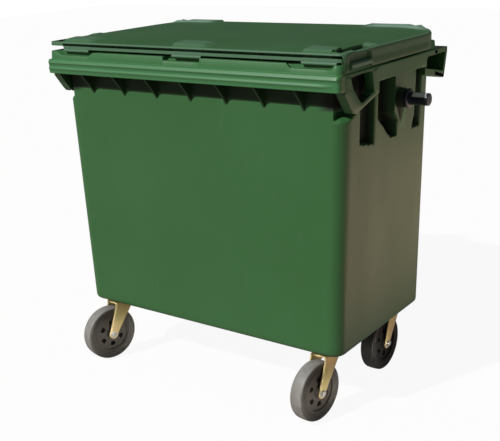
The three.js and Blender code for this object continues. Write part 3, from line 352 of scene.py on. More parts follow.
class Shape:
    """Points and faces in drawing millimetres, which end as one object in the frame."""

    def __init__(self):
        self.points = []
        self.faces = []
        self.count = 0

    def grid(self, points, around=False, closed=False, openings=None):
        """Faces between neighbours, but for openings.

        Around joins the last column to the first, closed the last row to the first.
        """
        points = np.asarray(points, float)
        rows, columns = points.shape[:2]
        r, c = np.meshgrid(
            np.arange(rows if closed else rows - 1),
            np.arange(columns if around else columns - 1),
            indexing="ij",
        )
        r_next, c_next = (r + 1) % rows, (c + 1) % columns
        row, row_next = r * columns, r_next * columns
        corners = np.stack([row + c, row + c_next, row_next + c_next, row_next + c], -1)
        corners = corners.reshape(-1, 4) if openings is None else corners[~openings]
        self.faces += (corners + self.count).tolist()
        self.points.append(points.reshape(-1, 3))
        self.count += rows * columns
        return self

    def cap(self, points):
        points = np.asarray(points, float)
        self.faces.append(list(range(self.count, self.count + len(points))))
        self.points.append(points)
        self.count += len(points)
        return self

    def prism(self, outline, axis, low, high):
        """A flat outline of two coordinates, drawn out along the third axis."""
        outline = np.asarray(outline, float)
        ends = [np.insert(outline, axis, at, axis=1) for at in (low, high)]
        self.grid(np.stack(ends), around=True)
        self.cap(ends[0])
        return self.cap(ends[1])

    def make(self, name, finish, slot, body, nodes, bevel=0, wall=0, sharp=40, **marks):
        """One object. A mark is a rule that turns drawn points into a number for the finish."""
        mesh = bpy.data.meshes.new(name)
        mesh.from_pydata(in_frame(np.concatenate(self.points)).tolist(), [], self.faces)
        work = bmesh.new()
        work.from_mesh(mesh)
        bmesh.ops.remove_doubles(work, verts=work.verts, dist=0.01 * MM)
        bmesh.ops.dissolve_degenerate(work, edges=work.edges, dist=0.005 * MM)
        bmesh.ops.recalc_face_normals(work, faces=work.faces)
        if wall and not faces_outwards(work):
            bmesh.ops.reverse_faces(work, faces=work.faces)
        work.to_mesh(mesh)
        work.free()
        mesh.shade_smooth()
        piece = new_object(name, mesh)
        if bevel:
            rounding = piece.modifiers.new("rounded edges", "BEVEL")
            rounding.width = bevel * MM
            rounding.segments = 3
            rounding.limit_method = "ANGLE"
            rounding.angle_limit = math.radians(30)
            rounding.harden_normals = True
        else:
            mesh.set_sharp_from_angle(angle=math.radians(sharp))
        if wall:
            shell = piece.modifiers.new("wall", "SOLIDIFY")
            shell.thickness = wall * MM
            shell.offset = -1
        places = np.empty(len(mesh.vertices) * 3, np.float32)
        mesh.vertices.foreach_get("co", places)
        drawn = places.reshape(-1, 3) / MM - DRAWING_SHIFT
        # Marks carry real tread wear, and painted highlights and painted shade.
        for mark, rule in marks.items():
            wear_and_painted_light = mesh.attributes.new(mark, "FLOAT", "POINT")
            wear_and_painted_light.data.foreach_set("value", np.broadcast_to(rule(drawn), len(drawn)).astype(np.float32))
        mesh.materials.append(finish)
        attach(piece, body)
        if nodes:
            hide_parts(*nodes)
        print("%-28s %6d faces" % (name, len(mesh.polygons)))
        return piece


def faces_outwards(work):
    """Whether an open sheet's faces look away from the middle of its points, by area."""
    middle = np.mean([vertex.co for vertex in work.verts], axis=0)
    centres = np.array([face.calc_center_median() for face in work.faces])
    normals = np.array([face.normal for face in work.faces])
    areas = np.array([face.calc_area() for face in work.faces])
    return ((centres - middle) * normals).sum(1) @ areas > 0


ON_TUB = {"finish": body_green, "slot": "body_green", "body": "container", "nodes": ["tub"]}
ON_LID = {"finish": lid_green, "slot": "lid_green", "body": "lid", "nodes": ["lid"]}
print("shapes are ready")

# %% [markdown]
# Seen from above, the tub, its rim and the lid are all rectangles with rounded corners.
# A `Loop` fixes stations on such a rectangle once: how far along the straight core each one
# lies, and which way the surface faces there. Any size of rectangle then takes the same
# stations, so rings of different sizes join up column by column.


# %% Stations round a rounded rectangle
class Loop:
    """Stations anticlockwise from above: front, right side, rear, left side, with corner arcs."""

    def __init__(self, front, side, arc_steps=8):
        arc = np.radians(np.linspace(0, 90, arc_steps + 1))
        front, side = np.asarray(front, float), np.asarray(side, float)
        straight = [
            (front, np.zeros_like(front), 0, -1),
            (np.ones_like(side), side, 1, 0),
            (-front, np.ones_like(front), 0, 1),
            (-np.ones_like(side), side[::-1], -1, 0),
        ]
        corners = [(1, 0, -90), (1, 1, 0), (-1, 1, 90), (-1, 0, 180)]
        parts = []
        for (x, y, nx, ny), (cx, cy, start) in zip(straight, corners):
            parts.append(np.stack([x, y, np.full_like(x, nx), np.full_like(x, ny)], -1))
            angle = arc + math.radians(start)
            core = [np.full_like(arc, cx), np.full_like(arc, cy)]
            parts.append(np.stack([*core, np.cos(angle), np.sin(angle)], -1))
        self.x, self.y, self.nx, self.ny = np.concatenate(parts).T

    def at(self, half, front, rear, radius):
        """Points on a rectangle: the core's point, plus the corner radius outwards.

        The radius may differ from station to station.
        """
        x = self.x * (half - radius) + radius * self.nx
        y = front + radius + self.y * (rear - front - 2 * radius) + radius * self.ny
        return np.stack([x, y], -1)


def shares_of(places, low, high):
    """Millimetre places as shares of the way from low to high, less the ends."""
    places = np.unique(np.asarray(places, float))
    shares = (places - low) / (high - low)
    return shares[(shares > 0.004) & (shares < 0.996)]


print("a plain loop has", len(Loop([0], [0.5]).x), "stations")

# %% [markdown]
# The tub tapers: it is 1076 mm wide at the floor and 1138 mm at the top. One sheet makes
# floor and walls. Its rows climb from the middle of the floor, round the bottom edge and up
# to the rim. On the side walls the sheet sinks into three upright recesses and swells into
# the column that carries the trunnion. On the front corners it falls back behind the handles.
# Four flat seats in the floor take the castors' plates. Every hollow gets painted shade, and the
# foot of the column gets a painted highlight.

# %% The tub's wall
GROOVE_DEEP, POCKET_DEEP, HANDLE_DEEP, COLUMN_OUT = 30, 50, 40, 17
TUB_LOW, TUB_TOP = 228, 1085
TUB_HALF = (538, 569)
TUB_FRONT = (-324, -323)
TUB_REAR = (262, 258)
TUB_CORNER = 45
TUB_WALL = 6
TRUNNION_Y, TRUNNION_Z = 31, 1006
COLUMN_Y = 43
CASTOR_X, CASTOR_FRONT_Y, CASTOR_REAR_Y = 452, -266, 172
EDGE_ROUND = 16


def tub_ring(loop, z, inset=0):
    """The tub's outline at a height: every size runs straight from foot to top."""
    share = (z - TUB_LOW) / (TUB_TOP - TUB_LOW)
    half, front, rear = (a + (b - a) * share for a, b in (TUB_HALF, TUB_FRONT, TUB_REAR))
    ring = loop.at(half - inset, front + inset, rear - inset, max(TUB_CORNER - inset, 4))
    return np.column_stack([ring, np.full(len(ring), z)])


def side_relief(y, z):
    """How deep a side wall lies inwards: three recesses, less the trunnion's column."""
    slope = 9
    front_line = np.interp(y, [-224, -137], [908, 893])
    front_groove = GROOVE_DEEP * window(y, -224, -137, slope) * smooth_step(z, front_line, slope)
    v_line = np.interp(y, [-110, -27, 20], [966, 893, 888])
    v_right = np.interp(z, [893, 935, 962], [14, 18, -6])
    pocket = POCKET_DEEP * window(y, -110, v_right, slope) * smooth_step(z, v_line, slope)
    rear_left = np.interp(z, [897, 943], [132, 148])
    rear_groove = GROOVE_DEEP * window(y, rear_left, 181, slope) * smooth_step(z, 893, slope)
    half_column = np.interp(z, [896, 960], [9, 48])
    taper = np.interp(z, [892, 968], [0, 1])
    column = COLUMN_OUT * taper * window(y, COLUMN_Y - half_column, COLUMN_Y + half_column, slope)
    column = column * below(z, 1094, 8)
    return np.maximum(np.maximum(front_groove, pocket), rear_groove) - column


def tub_shade(drawn):
    """Painted shade in recesses, behind handles, below trunnions, high in the comb channel; a painted highlight on
    the foot.
    """
    x, y, z = np.abs(drawn[:, 0]), drawn[:, 1], drawn[:, 2]
    on_side = (x > 480) & (y > -290) & (z < 1120)
    # Painted shade in the side recesses and behind the front handles.
    recess = np.clip((side_relief(y, z) - 1) / 6, 0, 1) * on_side
    behind = smooth_step(x, 488, 8) * smooth_step(z, 1021, 12)
    behind = behind * below(y, -164, 8)
    # Painted shade in a cone under each trunnion.
    half_cone = np.interp(z, [925, 985], [2, 34])
    cone = (x > 560) * smooth_step(z, 925, 10) * below(z, 1030, 20)
    cone = cone * below(np.abs(y - COLUMN_Y), half_cone, 6)
    # Painted shadow of the rim on the wall, high in the comb channel.
    channel = 0.75 * (y < -300) * smooth_step(z, 1034, 8)
    # Painted highlight on the foot of the trunnion's column.
    foot = window(z, 905, 972, 12) * window(y, COLUMN_Y - 2, COLUMN_Y + 34, 8)
    foot = foot * (x > 560)
    return 0.4 * foot - np.clip(recess + behind + cone + channel, 0, 1)


def corner_relief(loop, y, z):
    """The hollow behind a side handle, round the front corner, with a sloping lower lip."""
    on_side = (np.abs(loop.nx) > 0.3) & (y < 0)
    lip = np.interp(y, [-300, -250], [999, 1012])
    width = np.interp(y, [-300, -250], [26, 9])
    hollow = on_side * smooth_step(z, lip, width) * below(y, -160, 9)
    return HANDLE_DEEP * hollow


FINE = 5.5
side_places = np.arange(-272, 212, FINE)
tub_loop = Loop(np.linspace(-0.98, 0.98, 27), shares_of(side_places, -279, 215), 10)
wall_heights = [np.linspace(258, 870, 9), np.arange(880, 1096, FINE), [1120, 1156]]
CASTOR_PLACES = [(x, y) for x in (-CASTOR_X, CASTOR_X) for y in (CASTOR_FRONT_Y, CASTOR_REAR_Y)]
PAD_HALF_X, PAD_HALF_Y, PAD_DEPTH = 62, 47, 8

rows = []
for theta in np.radians([0, 22.5, 45, 67.5, 90]):
    z = TUB_LOW + EDGE_ROUND * (1 - math.cos(theta))
    rows.append(tub_ring(tub_loop, z, EDGE_ROUND * (1 - math.sin(theta))))
for z in np.concatenate(wall_heights):
    ring = tub_ring(tub_loop, z)
    sideways = np.abs(tub_loop.nx) > 0.99
    depth = side_relief(ring[:, 1], z) * sideways
    if z < TUB_TOP + 15:
        depth = np.maximum(depth, corner_relief(tub_loop, ring[:, 1], z))
    ring[:, :2] -= np.stack([tub_loop.nx, tub_loop.ny], -1) * depth[:, None]
    rows.append(ring)

middle = np.array([0, (TUB_FRONT[0] + TUB_REAR[0]) / 2, 0])
floor_rows = []
for share in np.linspace(0.04, 0.985, 46):
    ring = (rows[0] - middle) * [share, share, 1] + middle
    for x, y in CASTOR_PLACES:
        sunk = window(ring[:, 0], x - PAD_HALF_X, x + PAD_HALF_X, 7)
        sunk = sunk * window(ring[:, 1], y - PAD_HALF_Y, y + PAD_HALF_Y, 7)
        ring[:, 2] += PAD_DEPTH * sunk
    floor_rows.append(ring)

wall_sheet = Shape().grid(np.stack(floor_rows + rows), around=True)
wall_sheet.cap(floor_rows[0])
wall_sheet.make("tub_wall", **ON_TUB, wall=TUB_WALL, shade=tub_shade)

# %% [markdown]
# The rim is a hollow band that stiffens the mouth. Its section is the same all round, but
# from its outer face to the wall's inner face it is 65 mm at the front and only 19 mm at the
# sides. So each point of the section is given by its distance from the outer face, and is
# held back before it would pass the inner face. Two beads run along the front only, three
# notches in the ledge lie under the lid's grips, and the band is cut away where the handles
# let a hand through.

# %% The rim band
RIM_HALF, RIM_FRONT, RIM_REAR, RIM_CORNER = 585, -382, 283, 13
RIM_LOW, RIM_SHOULDER, RIM_UNDER, RIM_TOP = 1085, 1130, 1152, 1160
NOTCH_X = (-477, 6, 489)
NOTCH_HALF, NOTCH_DEEP, NOTCH_UNDER = 75, 13, 11
INNER_FACE = (565.6, -317, 252, 39)
BEAD_OUT = 3.2

notch_steps = np.array([-NOTCH_HALF, 2 - NOTCH_HALF, NOTCH_HALF - 2, NOTCH_HALF])
notch_edges = np.add.outer(NOTCH_X, notch_steps).ravel()
front_places = np.concatenate([np.linspace(-550, 550, 45), notch_edges])
side_cuts = [-337, -335, -183, -181, 186, 188, 190]
rim_loop = Loop(
    shares_of(front_places, -561, 561) * 2 - 1,
    shares_of(np.concatenate([np.linspace(-350, 250, 41), side_cuts]), -358, 259),
    8,
)
outer = rim_loop.at(RIM_HALF, RIM_FRONT, RIM_REAR, RIM_CORNER)
inner = rim_loop.at(*INNER_FACE)
room = np.linalg.norm(outer - inner, axis=1)
beads_front = np.clip((-rim_loop.ny - 0.75) / 0.2, 0, 1)
low_bead_short = below(outer[:, 0], 545, 6)

beside_handle = (np.abs(rim_loop.nx) > 0.99) & (outer[:, 1] > -336) & (outer[:, 1] < -182)
behind_window = (outer[:, 1] > 187) & (np.abs(outer[:, 0]) > 513)
band_low = np.where(beside_handle, 1124, np.where(behind_window, 1114, RIM_LOW))
notch = sum(window(outer[:, 0], x - NOTCH_HALF, x + NOTCH_HALF, 2) for x in NOTCH_X)
notch = notch * (rim_loop.ny < -0.99)


def band_point(away_in, z, bead=0):
    """A point of the section: away_in inwards from the outer face, never past the inner face."""
    share = np.clip((room - away_in) / room, 0.04, None)[:, None]
    flat = inner + (outer - inner) * share
    flat = flat + np.stack([rim_loop.nx, rim_loop.ny], -1) * np.reshape(bead, (-1, 1))
    return np.column_stack([flat, np.broadcast_to(z, (len(flat),)).astype(float)])


def raised_bead(z, half, shown):
    """A bead: a cosine swell, as high as twice the half given."""
    rows = []
    for k, t in enumerate(np.linspace(-1, 1, 7)):
        swell = BEAD_OUT * beads_front * shown * (0.5 + 0.5 * math.cos(math.pi * t))
        rows.append(band_point(0, np.maximum(z + half * t, band_low + 1.5 + 0.1 * k), swell))
    return rows


def rim_shade(drawn):
    """A painted highlight on the band's outside, brightest on its front."""
    outside = (RIM_FRONT + 16 - drawn[:, 1]) / 16
    return 0.1 + 0.24 * np.clip(outside, 0, 1)


ledge_top = RIM_TOP - NOTCH_DEEP * notch
ledge_under = RIM_UNDER - NOTCH_UNDER * notch
inside_rows = [(6, 1124), (6, band_low + 0.2), (4.8, band_low), (1.2, band_low), (0, band_low + 1.2)]
ledge_rows = [
    (0.6, RIM_SHOULDER), (2, RIM_SHOULDER + 1.2), (11.5, RIM_SHOULDER + 3), (13, RIM_SHOULDER + 4.5),
    (15, ledge_top - 2.5), (16.2, ledge_top - 0.6), (18, ledge_top), (38, ledge_top),
    (39.5, RIM_TOP), (200, RIM_TOP), (200, RIM_UNDER), (40, ledge_under), (22, ledge_under),
    (21, 1125),
]
section = [band_point(away_in, z) for away_in, z in inside_rows]
section += raised_bead(1101.5, 8, low_bead_short) + raised_bead(1121.5, 7, 1)
section += [band_point(away_in, z) for away_in, z in ledge_rows]
Shape().grid(np.stack(section), around=True, closed=True).make(
    "rim_band", **ON_TUB, sharp=28, shade=rim_shade
)

# %% [markdown]
# Seven ribs stand in the channel under the front rim, where the teeth of a lifting comb come
# up. Each is a thin plate that runs from the band down to a point on the wall.


# %% The comb ribs
def rib_shade(drawn):
    """Painted shade on the ribs, darkest high up and less towards their tips."""
    return -0.35 - 0.4 * smooth_step(drawn[:, 2], 1030, 30)


RIB_PITCH, RIB_THICK = 143, 8
ribs = Shape()
outline = [(-379, 1126), (-379, 1084), (-344, 1044), (-321, 1011), (-321, 1126)]
for k in range(-3, 4):
    ribs.prism(outline, 0, k * RIB_PITCH - RIB_THICK / 2, k * RIB_PITCH + RIB_THICK / 2)
ribs.make("comb_ribs", **ON_TUB, bevel=1.2, shade=rib_shade)

# %% [markdown]
# A side handle hangs from the band near each front corner: a thick triangular loop with a
# hole for the hand. Both outlines are convex, so a ray from the hole's middle meets each of
# them once. Points on equal rays make the ring's columns, and a rounded rectangle between
# the two outlines makes its section.


# %% The front handles
def ray_lengths(corners, origin, angles):
    """Distance from the origin to a convex outline along each angle: the nearest edge line ahead."""
    corners = np.asarray(corners, float)
    edges = np.roll(corners, -1, axis=0) - corners
    normals = np.stack([edges[:, 1], -edges[:, 0]], -1)
    normals *= np.sign(((corners - origin) * normals).sum(1))[:, None]
    reach = ((corners - origin) * normals).sum(1)
    facing = np.stack([np.cos(angles), np.sin(angles)], -1) @ normals.T
    lengths = np.where(facing > 1e-6, reach / np.maximum(facing, 1e-6), np.inf)
    return lengths.min(1)


def ring_plate(shape, outside, inside, origin, faces, edge):
    """A plate with a hole, drawn across x between its two faces, with rounded edges.

    A negative edge, as on the left handle, turns the roundings outwards into a small lip.
    """
    both = np.concatenate([np.asarray(outside), np.asarray(inside)]) - origin
    towards_corners = np.arctan2(both[:, 1], both[:, 0]) % (2 * math.pi)
    angles = np.unique(np.concatenate([np.radians(np.arange(0, 360, 4)), towards_corners]))
    far = ray_lengths(outside, origin, angles)
    near = ray_lengths(inside, origin, angles)
    low, high = faces
    half = [(near, edge), (near + 0.3 * edge, 0.3 * edge), (near + edge, 0)]
    half += [(far - edge, 0), (far - 0.3 * edge, 0.3 * edge), (far, edge)]
    turnings = [(radius, low + deep) for radius, deep in half]
    turnings += [(radius, high - deep) for radius, deep in half[::-1]]
    rings = []
    for radius, x in turnings:
        y = origin[0] + radius * np.cos(angles)
        z = origin[1] + radius * np.sin(angles)
        rings.append(np.column_stack([np.full_like(y, x), y, z]))
    shape.grid(np.stack(rings), around=True, closed=True)


handle_outside = [
    (-350, 1127), (-352, 1075), (-318, 1030), (-305, 1015),
    (-285, 1010), (-143, 1052), (-143, 1127),
]
handle_inside = [
    (-317, 1122), (-303, 1087), (-262, 1043),
    (-249, 1038), (-176, 1061), (-188, 1122),
]
HANDLE_MIDDLE = np.array([-245, 1088])


def handle_shade(drawn):
    """Painted shade on the hole's inner faces, and a painted highlight on its rear edge."""
    spoke = drawn[:, 1:] - HANDLE_MIDDLE
    reach = ray_lengths(handle_inside, HANDLE_MIDDLE, np.arctan2(spoke[:, 1], spoke[:, 0]))
    inner = np.linalg.norm(spoke, axis=1) < reach + 1.5
    return inner * np.where(drawn[:, 1] > -200, 0.3, -0.75)


handles = Shape()
for sign in (-1, 1):
    faces = (sign * 555, sign * 585.6)
    ring_plate(handles, handle_outside, handle_inside, HANDLE_MIDDLE, faces, 2.5 * sign)
handles.make("front_handles", **ON_TUB, sharp=50, shade=handle_shade)

# %% [markdown]
# The rear handles stand out behind the corners: a top plate, a slanting back, a low bar, a
# cheek and a sloping floor, all moulded together.

# %% The rear handles
top_plate = [(250, 1114), (343, 1114), (349, 1130), (250, 1130)]
back_plate = [(349, 1129), (336, 1129), (313, 1029), (325, 1029), (349, 1112)]
low_bar = [(176, 1079), (176, 1056), (324, 1028), (324, 1051)]
cheek = [(250, 1129), (250, 998), (300, 998), (324, 1028), (347, 1129)]
floor_plate = [(250, 1062), (250, 1044), (324, 1028.5), (324, 1040)]
loops = Shape()
for sign in (-1, 1):
    near, far = sign * 500, sign * 585
    loops.prism(top_plate, 0, near, far)
    loops.prism(back_plate, 0, near, far)
    loops.prism(low_bar, 0, sign * 561, far)
    loops.prism(cheek, 0, near, sign * 512)
    loops.prism(floor_plate, 0, near, far)
loops.make("rear_handles", **ON_TUB, bevel=2)

# %% [markdown]
# Each trunnion sits on a boss at the column's face. Boss, collar and pin are all turned
# shapes: a profile of radius and distance, carried round the trunnion's axis.


# %% Turned shapes
def turned(shape, profile, origin, axis, steps=48, reference=(0, 0, 1)):
    """Carries points (radius, distance) round an axis.

    A profile that starts on the axis ends there too. Any other is a ring and joins its ends.
    """
    profile = np.asarray(profile, float)
    axis = np.asarray(axis, float) / np.linalg.norm(axis)
    first = np.cross(axis, reference)
    first /= np.linalg.norm(first)
    second = np.cross(axis, first)
    angle = np.linspace(0, 2 * math.pi, steps, endpoint=False)
    spoke = np.cos(angle)[:, None] * first + np.sin(angle)[:, None] * second
    points = origin + profile[:, 1, None, None] * axis + profile[:, 0, None, None] * spoke
    return shape.grid(points, around=True, closed=profile[0, 0] > 0)


def soft_profile(points, radius):
    """A profile whose inner corners give way to small parabolas; its two ends stay."""
    points = np.asarray(points, float)
    t = np.linspace(0, 1, 5)[:, None]
    softened = [points[:1]]
    for before, corner, after in zip(points, points[1:], points[2:]):
        spans = [np.linalg.norm(point - corner) for point in (before, after)]
        cut = min(radius, 0.45 * min(spans))
        start = corner + (before - corner) / spans[0] * cut
        end = corner + (after - corner) / spans[1] * cut
        softened.append((1 - t) ** 2 * start + 2 * t * (1 - t) * corner + t**2 * end)
    return np.concatenate([*softened, points[-1:]])


def boss_shade(drawn):
    """Painted shade on the boss, less of it at the top of its rim."""
    return -0.95 + 0.3 * smooth_step(drawn[:, 2], TRUNNION_Z + 22, 16)


def peg_shade(drawn):
    """A painted highlight: a bright strip along the peg's upper side."""
    x, y, z = drawn.T
    strip = smooth_step(z + 0.7 * (TRUNNION_Y - y), TRUNNION_Z + 21.4, 2.4)
    return strip * window(np.abs(x), 616, 661, 6)


PEG_RADIUS = 20
boss = soft_profile([(0, 545), (36, 545), (29, 592.7), (0, 592.7)], 2.5)
collar = [(0, 593), (31, 593), (31, 600), (28, 603), (24, 604.5), (0, 604.5)]
collar = soft_profile(collar, 2)
peg = [(0, 521.7), (12, 521.7), (12, 600), (21.5, 602)]
peg += [(PEG_RADIUS, out) for out in (612, 616, 625, 640, 655, 660, 668)]
peg = soft_profile(peg + [(0, 668)], 4)
place = np.array([0, TRUNNION_Y, TRUNNION_Z])
navy = {"finish": navy_plastic, "slot": "navy_plastic", "body": "container"}
for side, sign in (("left", -1), ("right", 1)):
    along = [sign, 0, 0]
    turned(Shape(), boss, place, along).make(
        "trunnion_boss_" + side, **ON_TUB, shade=boss_shade
    )
    turned(Shape(), collar, place, along).make(
        "trunnion_collar_" + side, nodes=["trunnion_flange_" + side], **navy
    )
    turned(Shape(), peg, place, along, 96).make(
        "trunnion_peg_" + side, nodes=["trunnion_pin_" + side], shade=peg_shade, **navy
    )

# %% [markdown]
# Behind the rim, four cheeks carry the hinge pins. Cheeks and barrels end in the same arc
# round the pin.


# %% The hinge cheeks
def nose(start, end):
    """An arc of 15 mm round the hinge line, between two angles in degrees."""
    bow = np.radians(np.linspace(start, end, 14))
    return [(HINGE_Y + 15 * math.cos(a), HINGE_Z + 15 * math.sin(a)) for a in bow]


HINGE_X = 375
CHEEK_OFFSET, CHEEK_HALF, ARM_HALF = 56, 7, 47
cheeks = Shape()
outline = [(262, 1160), (262, 1088)] + nose(-110, 80) + [(350, 1175)]
for sign in (-1, 1):
    for side in (-1, 1):
        x = sign * HINGE_X + side * CHEEK_OFFSET
        cheeks.prism(outline, 0, x - CHEEK_HALF, x + CHEEK_HALF)
cheeks.make("hinge_cheeks", **ON_TUB, bevel=1.5)

# %% [markdown]
# The lid's top is a height over the ground plan. It swells softly from every edge to a flat
# middle, with three humps above the front grips, a deep slot beside each side grip and a
# raised lobe over each hinge. The rear corners are much rounder than the front ones.
# The same shares of humps, slots and lobes say where the lid gets painted highlights or painted shade.

# %% The lid's top
LID_HALF, LID_FRONT, LID_REAR, LID_CORNER = 590, -362, 303, (24, 120)
LID_EDGE, LID_CROWN, LID_REACH, LID_REAR_REACH = 1191, 11, 150, 26
LOBE_TOP = 1205.5
HUMP_UP, SWELL_UP, SLOT_DOWN, NICK_DOWN, SLIT_DOWN = 8.2, 4, 12, 7, 8
GRIP_X = (-461, 22, 505)
GRIP_HALF = 59


def slot_share(x, y):
    """1 in the deep slot beside each side grip."""
    return window(np.abs(x), 543, 574, 4) * window(y, -346, -172, 8)


def hump_share(x, y):
    """1 on the humps above the three front grips, fading out to the right."""
    total = 0
    for middle_x in GRIP_X:
        left = middle_x - GRIP_HALF
        fade = smooth_step(x, left, 4) * below(x, middle_x + GRIP_HALF + 14, 60)
        total = total + fade * window(y, -350, -292, 14)
    return total


def lobe_share(x, y):
    """1 on the two lobes over the hinges."""
    return window(np.abs(x), 318, 524, 16) * smooth_step(y, 246, 18)


def slit_share(x, y):
    """1 in the narrow slit across each lobe."""
    return window(np.abs(x), 486, 493, 3) * smooth_step(y, 256, 10)


def swell_share(x, y):
    """1 on the small swell behind each deep slot."""
    return window(np.abs(x), 541, 583, 8) * window(y, -166, -138, 20)


def nick_share(x, y):
    """1 in the nick at the left end of each hump."""
    lefts = [middle_x - GRIP_HALF for middle_x in GRIP_X]
    return sum(window(x, at - 14, at - 2, 4) for at in lefts) * window(y, -322, -292, 6)


def lid_height(x, y):
    """The lid's height: a swell from the edges, and what stands or lies on it."""
    across = np.sin(np.clip((LID_HALF - np.abs(x)) / LID_REACH, 0, 1) * math.pi / 2)
    from_ends = np.minimum((y - LID_FRONT) / LID_REACH, (LID_REAR - y) / LID_REAR_REACH)
    along = np.sin(np.clip(from_ends, 0, 1) * math.pi / 2)
    z = LID_EDGE + LID_CROWN * across * along
    z = z + HUMP_UP * hump_share(x, y) - NICK_DOWN * nick_share(x, y)
    z = z - SLOT_DOWN * slot_share(x, y) + SWELL_UP * swell_share(x, y)
    z = np.maximum(z, z + (LOBE_TOP - z) * lobe_share(x, y))
    return z - SLIT_DOWN * slit_share(x, y)


def lid_shade(drawn):
    """Painted highlights along the edges, on humps, lobes and the right grip; painted shade in slots, slits and
    nicks.
    """
    x, y, z = drawn.T
    edge = np.minimum(LID_HALF - np.abs(x), np.minimum(y - LID_FRONT, LID_REAR - y))
    # Painted highlights along the edges, on humps, swells and lobes.
    pale = 0.3 * below(edge, 7, 9) * (z > 1164)
    pale = pale + 0.22 * hump_share(x, y) + 0.3 * swell_share(x, y)
    pale = pale + 0.9 * window(np.abs(x), 340, 556, 60) * smooth_step(y, 226, 40)
    # Painted highlight on the right side grip's lip.
    pale = pale + 0.7 * (x > 584) * window(y, -326, -204, 6) * (z < 1162)
    # Painted shade in slots, slits and nicks.
    painted_dark = slot_share(x, y) + slit_share(x, y) + nick_share(x, y)
    return np.clip(pale, 0, 0.9) * (painted_dark < 0.05) - np.clip(painted_dark, 0, 1) * (z > 1170)


nick_lines = np.add.outer(GRIP_X, [-75, -71, -61, -57]).ravel()
slit_lines = np.multiply.outer([-1, 1], [485, 488, 491, 494, 541, 545]).ravel()
x_lines = np.concatenate([np.linspace(-560, 560, 141), nick_lines, slit_lines])
y_lines = [np.arange(-334, -280, 3.2), np.arange(-280, 230, 10), np.arange(232, 278, 3.6)]
y_lines = np.concatenate(y_lines)
top_loop = Loop(shares_of(x_lines, -566, 566) * 2 - 1, shares_of(y_lines, -338, 279), 8)
insets = [2.5, 4, 6, 8.5, 11, 14, 16, 18, *range(20, 44, 4), *range(44, 52, 2), *range(52, 80, 4)]
insets += [82, 90, 100, 115, 135, 160, 190, 225, 260, 295, 322]
lid_corner = LID_CORNER[0] + (LID_CORNER[1] - LID_CORNER[0]) * top_loop.y
rings = []
for inset in insets:
    corner = np.maximum(lid_corner - inset, 3)
    flat = top_loop.at(LID_HALF - inset, LID_FRONT + inset, LID_REAR - inset, corner)
    rings.append(np.column_stack([flat, lid_height(flat[:, 0], flat[:, 1])]))

# %% [markdown]
# The skirt's rows go down from that edge. Each row says how far it lies outwards and how
# high it is, once for the front, the sides, the rear, the grip on the right side, and the left
# front corner, where the skirt is short. Every station takes the row of the place it is at. So
# the front has a thin panel edge over a deep groove and a lip, and the sides a plain wall.

# %% The lid's skirt
faces_front = top_loop.ny < -0.75
faces_rear = top_loop.ny > 0.6
edge_x, edge_y = top_loop.at(LID_HALF, LID_FRONT, LID_REAR, lid_corner).T
side_grip = (top_loop.nx > 0.99) * window(edge_y, -330, -200, 6)
left_gap = below(edge_x, -519, 5) * below(edge_y, -200, 8)
skirt_rows = [
    ((-0.8, 1190.4),) * 5,
    ((0, 1189),) * 5,
    ((0, 1186.6), (0, 1180), (0, 1186), (0, 1186), (0, 1187)),
    ((-1, 1186), (0, 1176), (0, 1184), (-9, 1183), (0, 1185)),
    ((-17, 1185.6), (0, 1172), (0, 1182), (-10, 1173), (0, 1183.5)),
    ((-17, 1177), (0, 1168), (0, 1180), (-9, 1163), (0, 1182)),
    ((-4, 1176.6), (0, 1160), (0, 1178), (2, 1161), (0, 1181)),
    ((-2.6, 1175.6), (0, 1150), (0, 1177), (7, 1157), (0, 1180)),
    ((-2.4, 1168), (0, 1141), (0, 1175), (7, 1149), (0, 1179)),
    ((-3.2, 1166.8), (-0.8, 1138.6), (-0.8, 1173.6), (5, 1147), (-0.8, 1178)),
]
skirt = []
for front_row, side_row, rear_row, grip_row, gap_row in skirt_rows:
    row = np.where(faces_front[:, None], front_row, np.where(faces_rear[:, None], rear_row, side_row))
    row = row + side_grip[:, None] * (grip_row - row)
    row = row + left_gap[:, None] * (gap_row - row)
    flat = np.column_stack([edge_x, edge_y]) + np.stack([top_loop.nx, top_loop.ny], -1) * row[:, :1]
    skirt.append(np.column_stack([flat, row[:, 1]]))
lid_sheet = Shape().grid(np.stack(skirt[::-1] + rings), around=True)
lid_sheet.cap(rings[-1])
lid_sheet.make("lid_shell", **ON_LID, wall=4, sharp=32, shade=lid_shade)

# %% [markdown]
# Three grips hang under the front lip, over the notches in the rim, where fingers lift the
# lid. Two arms run back from the lobes to barrels on the hinge pins.

# %% Grips and hinge arms
def grip_shade(drawn):
    """A painted highlight on the grips, and painted shade underneath."""
    return 0.75 * smooth_step(drawn[:, 2], 1159.5, 3) - 0.3


grips = Shape()
outline = [
    (-344, 1177), (-344, 1160), (-350, 1157), (-361, 1158.5),
    (-360.5, 1164), (-357, 1172), (-357, 1177),
]
for middle_x in GRIP_X:
    grips.prism(outline, 0, middle_x - GRIP_HALF, middle_x + GRIP_HALF)
grips.make("lid_grips", **ON_LID, bevel=1.5, shade=grip_shade)

arms = Shape()
outline = [(290, 1205), (290, 1176), (340, 1164)] + nose(-100, 90)
for x in (-HINGE_X, HINGE_X):
    arms.prism(outline, 0, x - ARM_HALF, x + ARM_HALF)
arms.make("hinge_arms", **ON_LID, bevel=2)

# %% [markdown]
# Each castor is built round its swivel, with the wheel trailing behind, and is then turned
# and set under the tub as it stands in the photograph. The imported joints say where: the
# swivel's joint gives the place, and the axle's joint gives the way the wheel points.

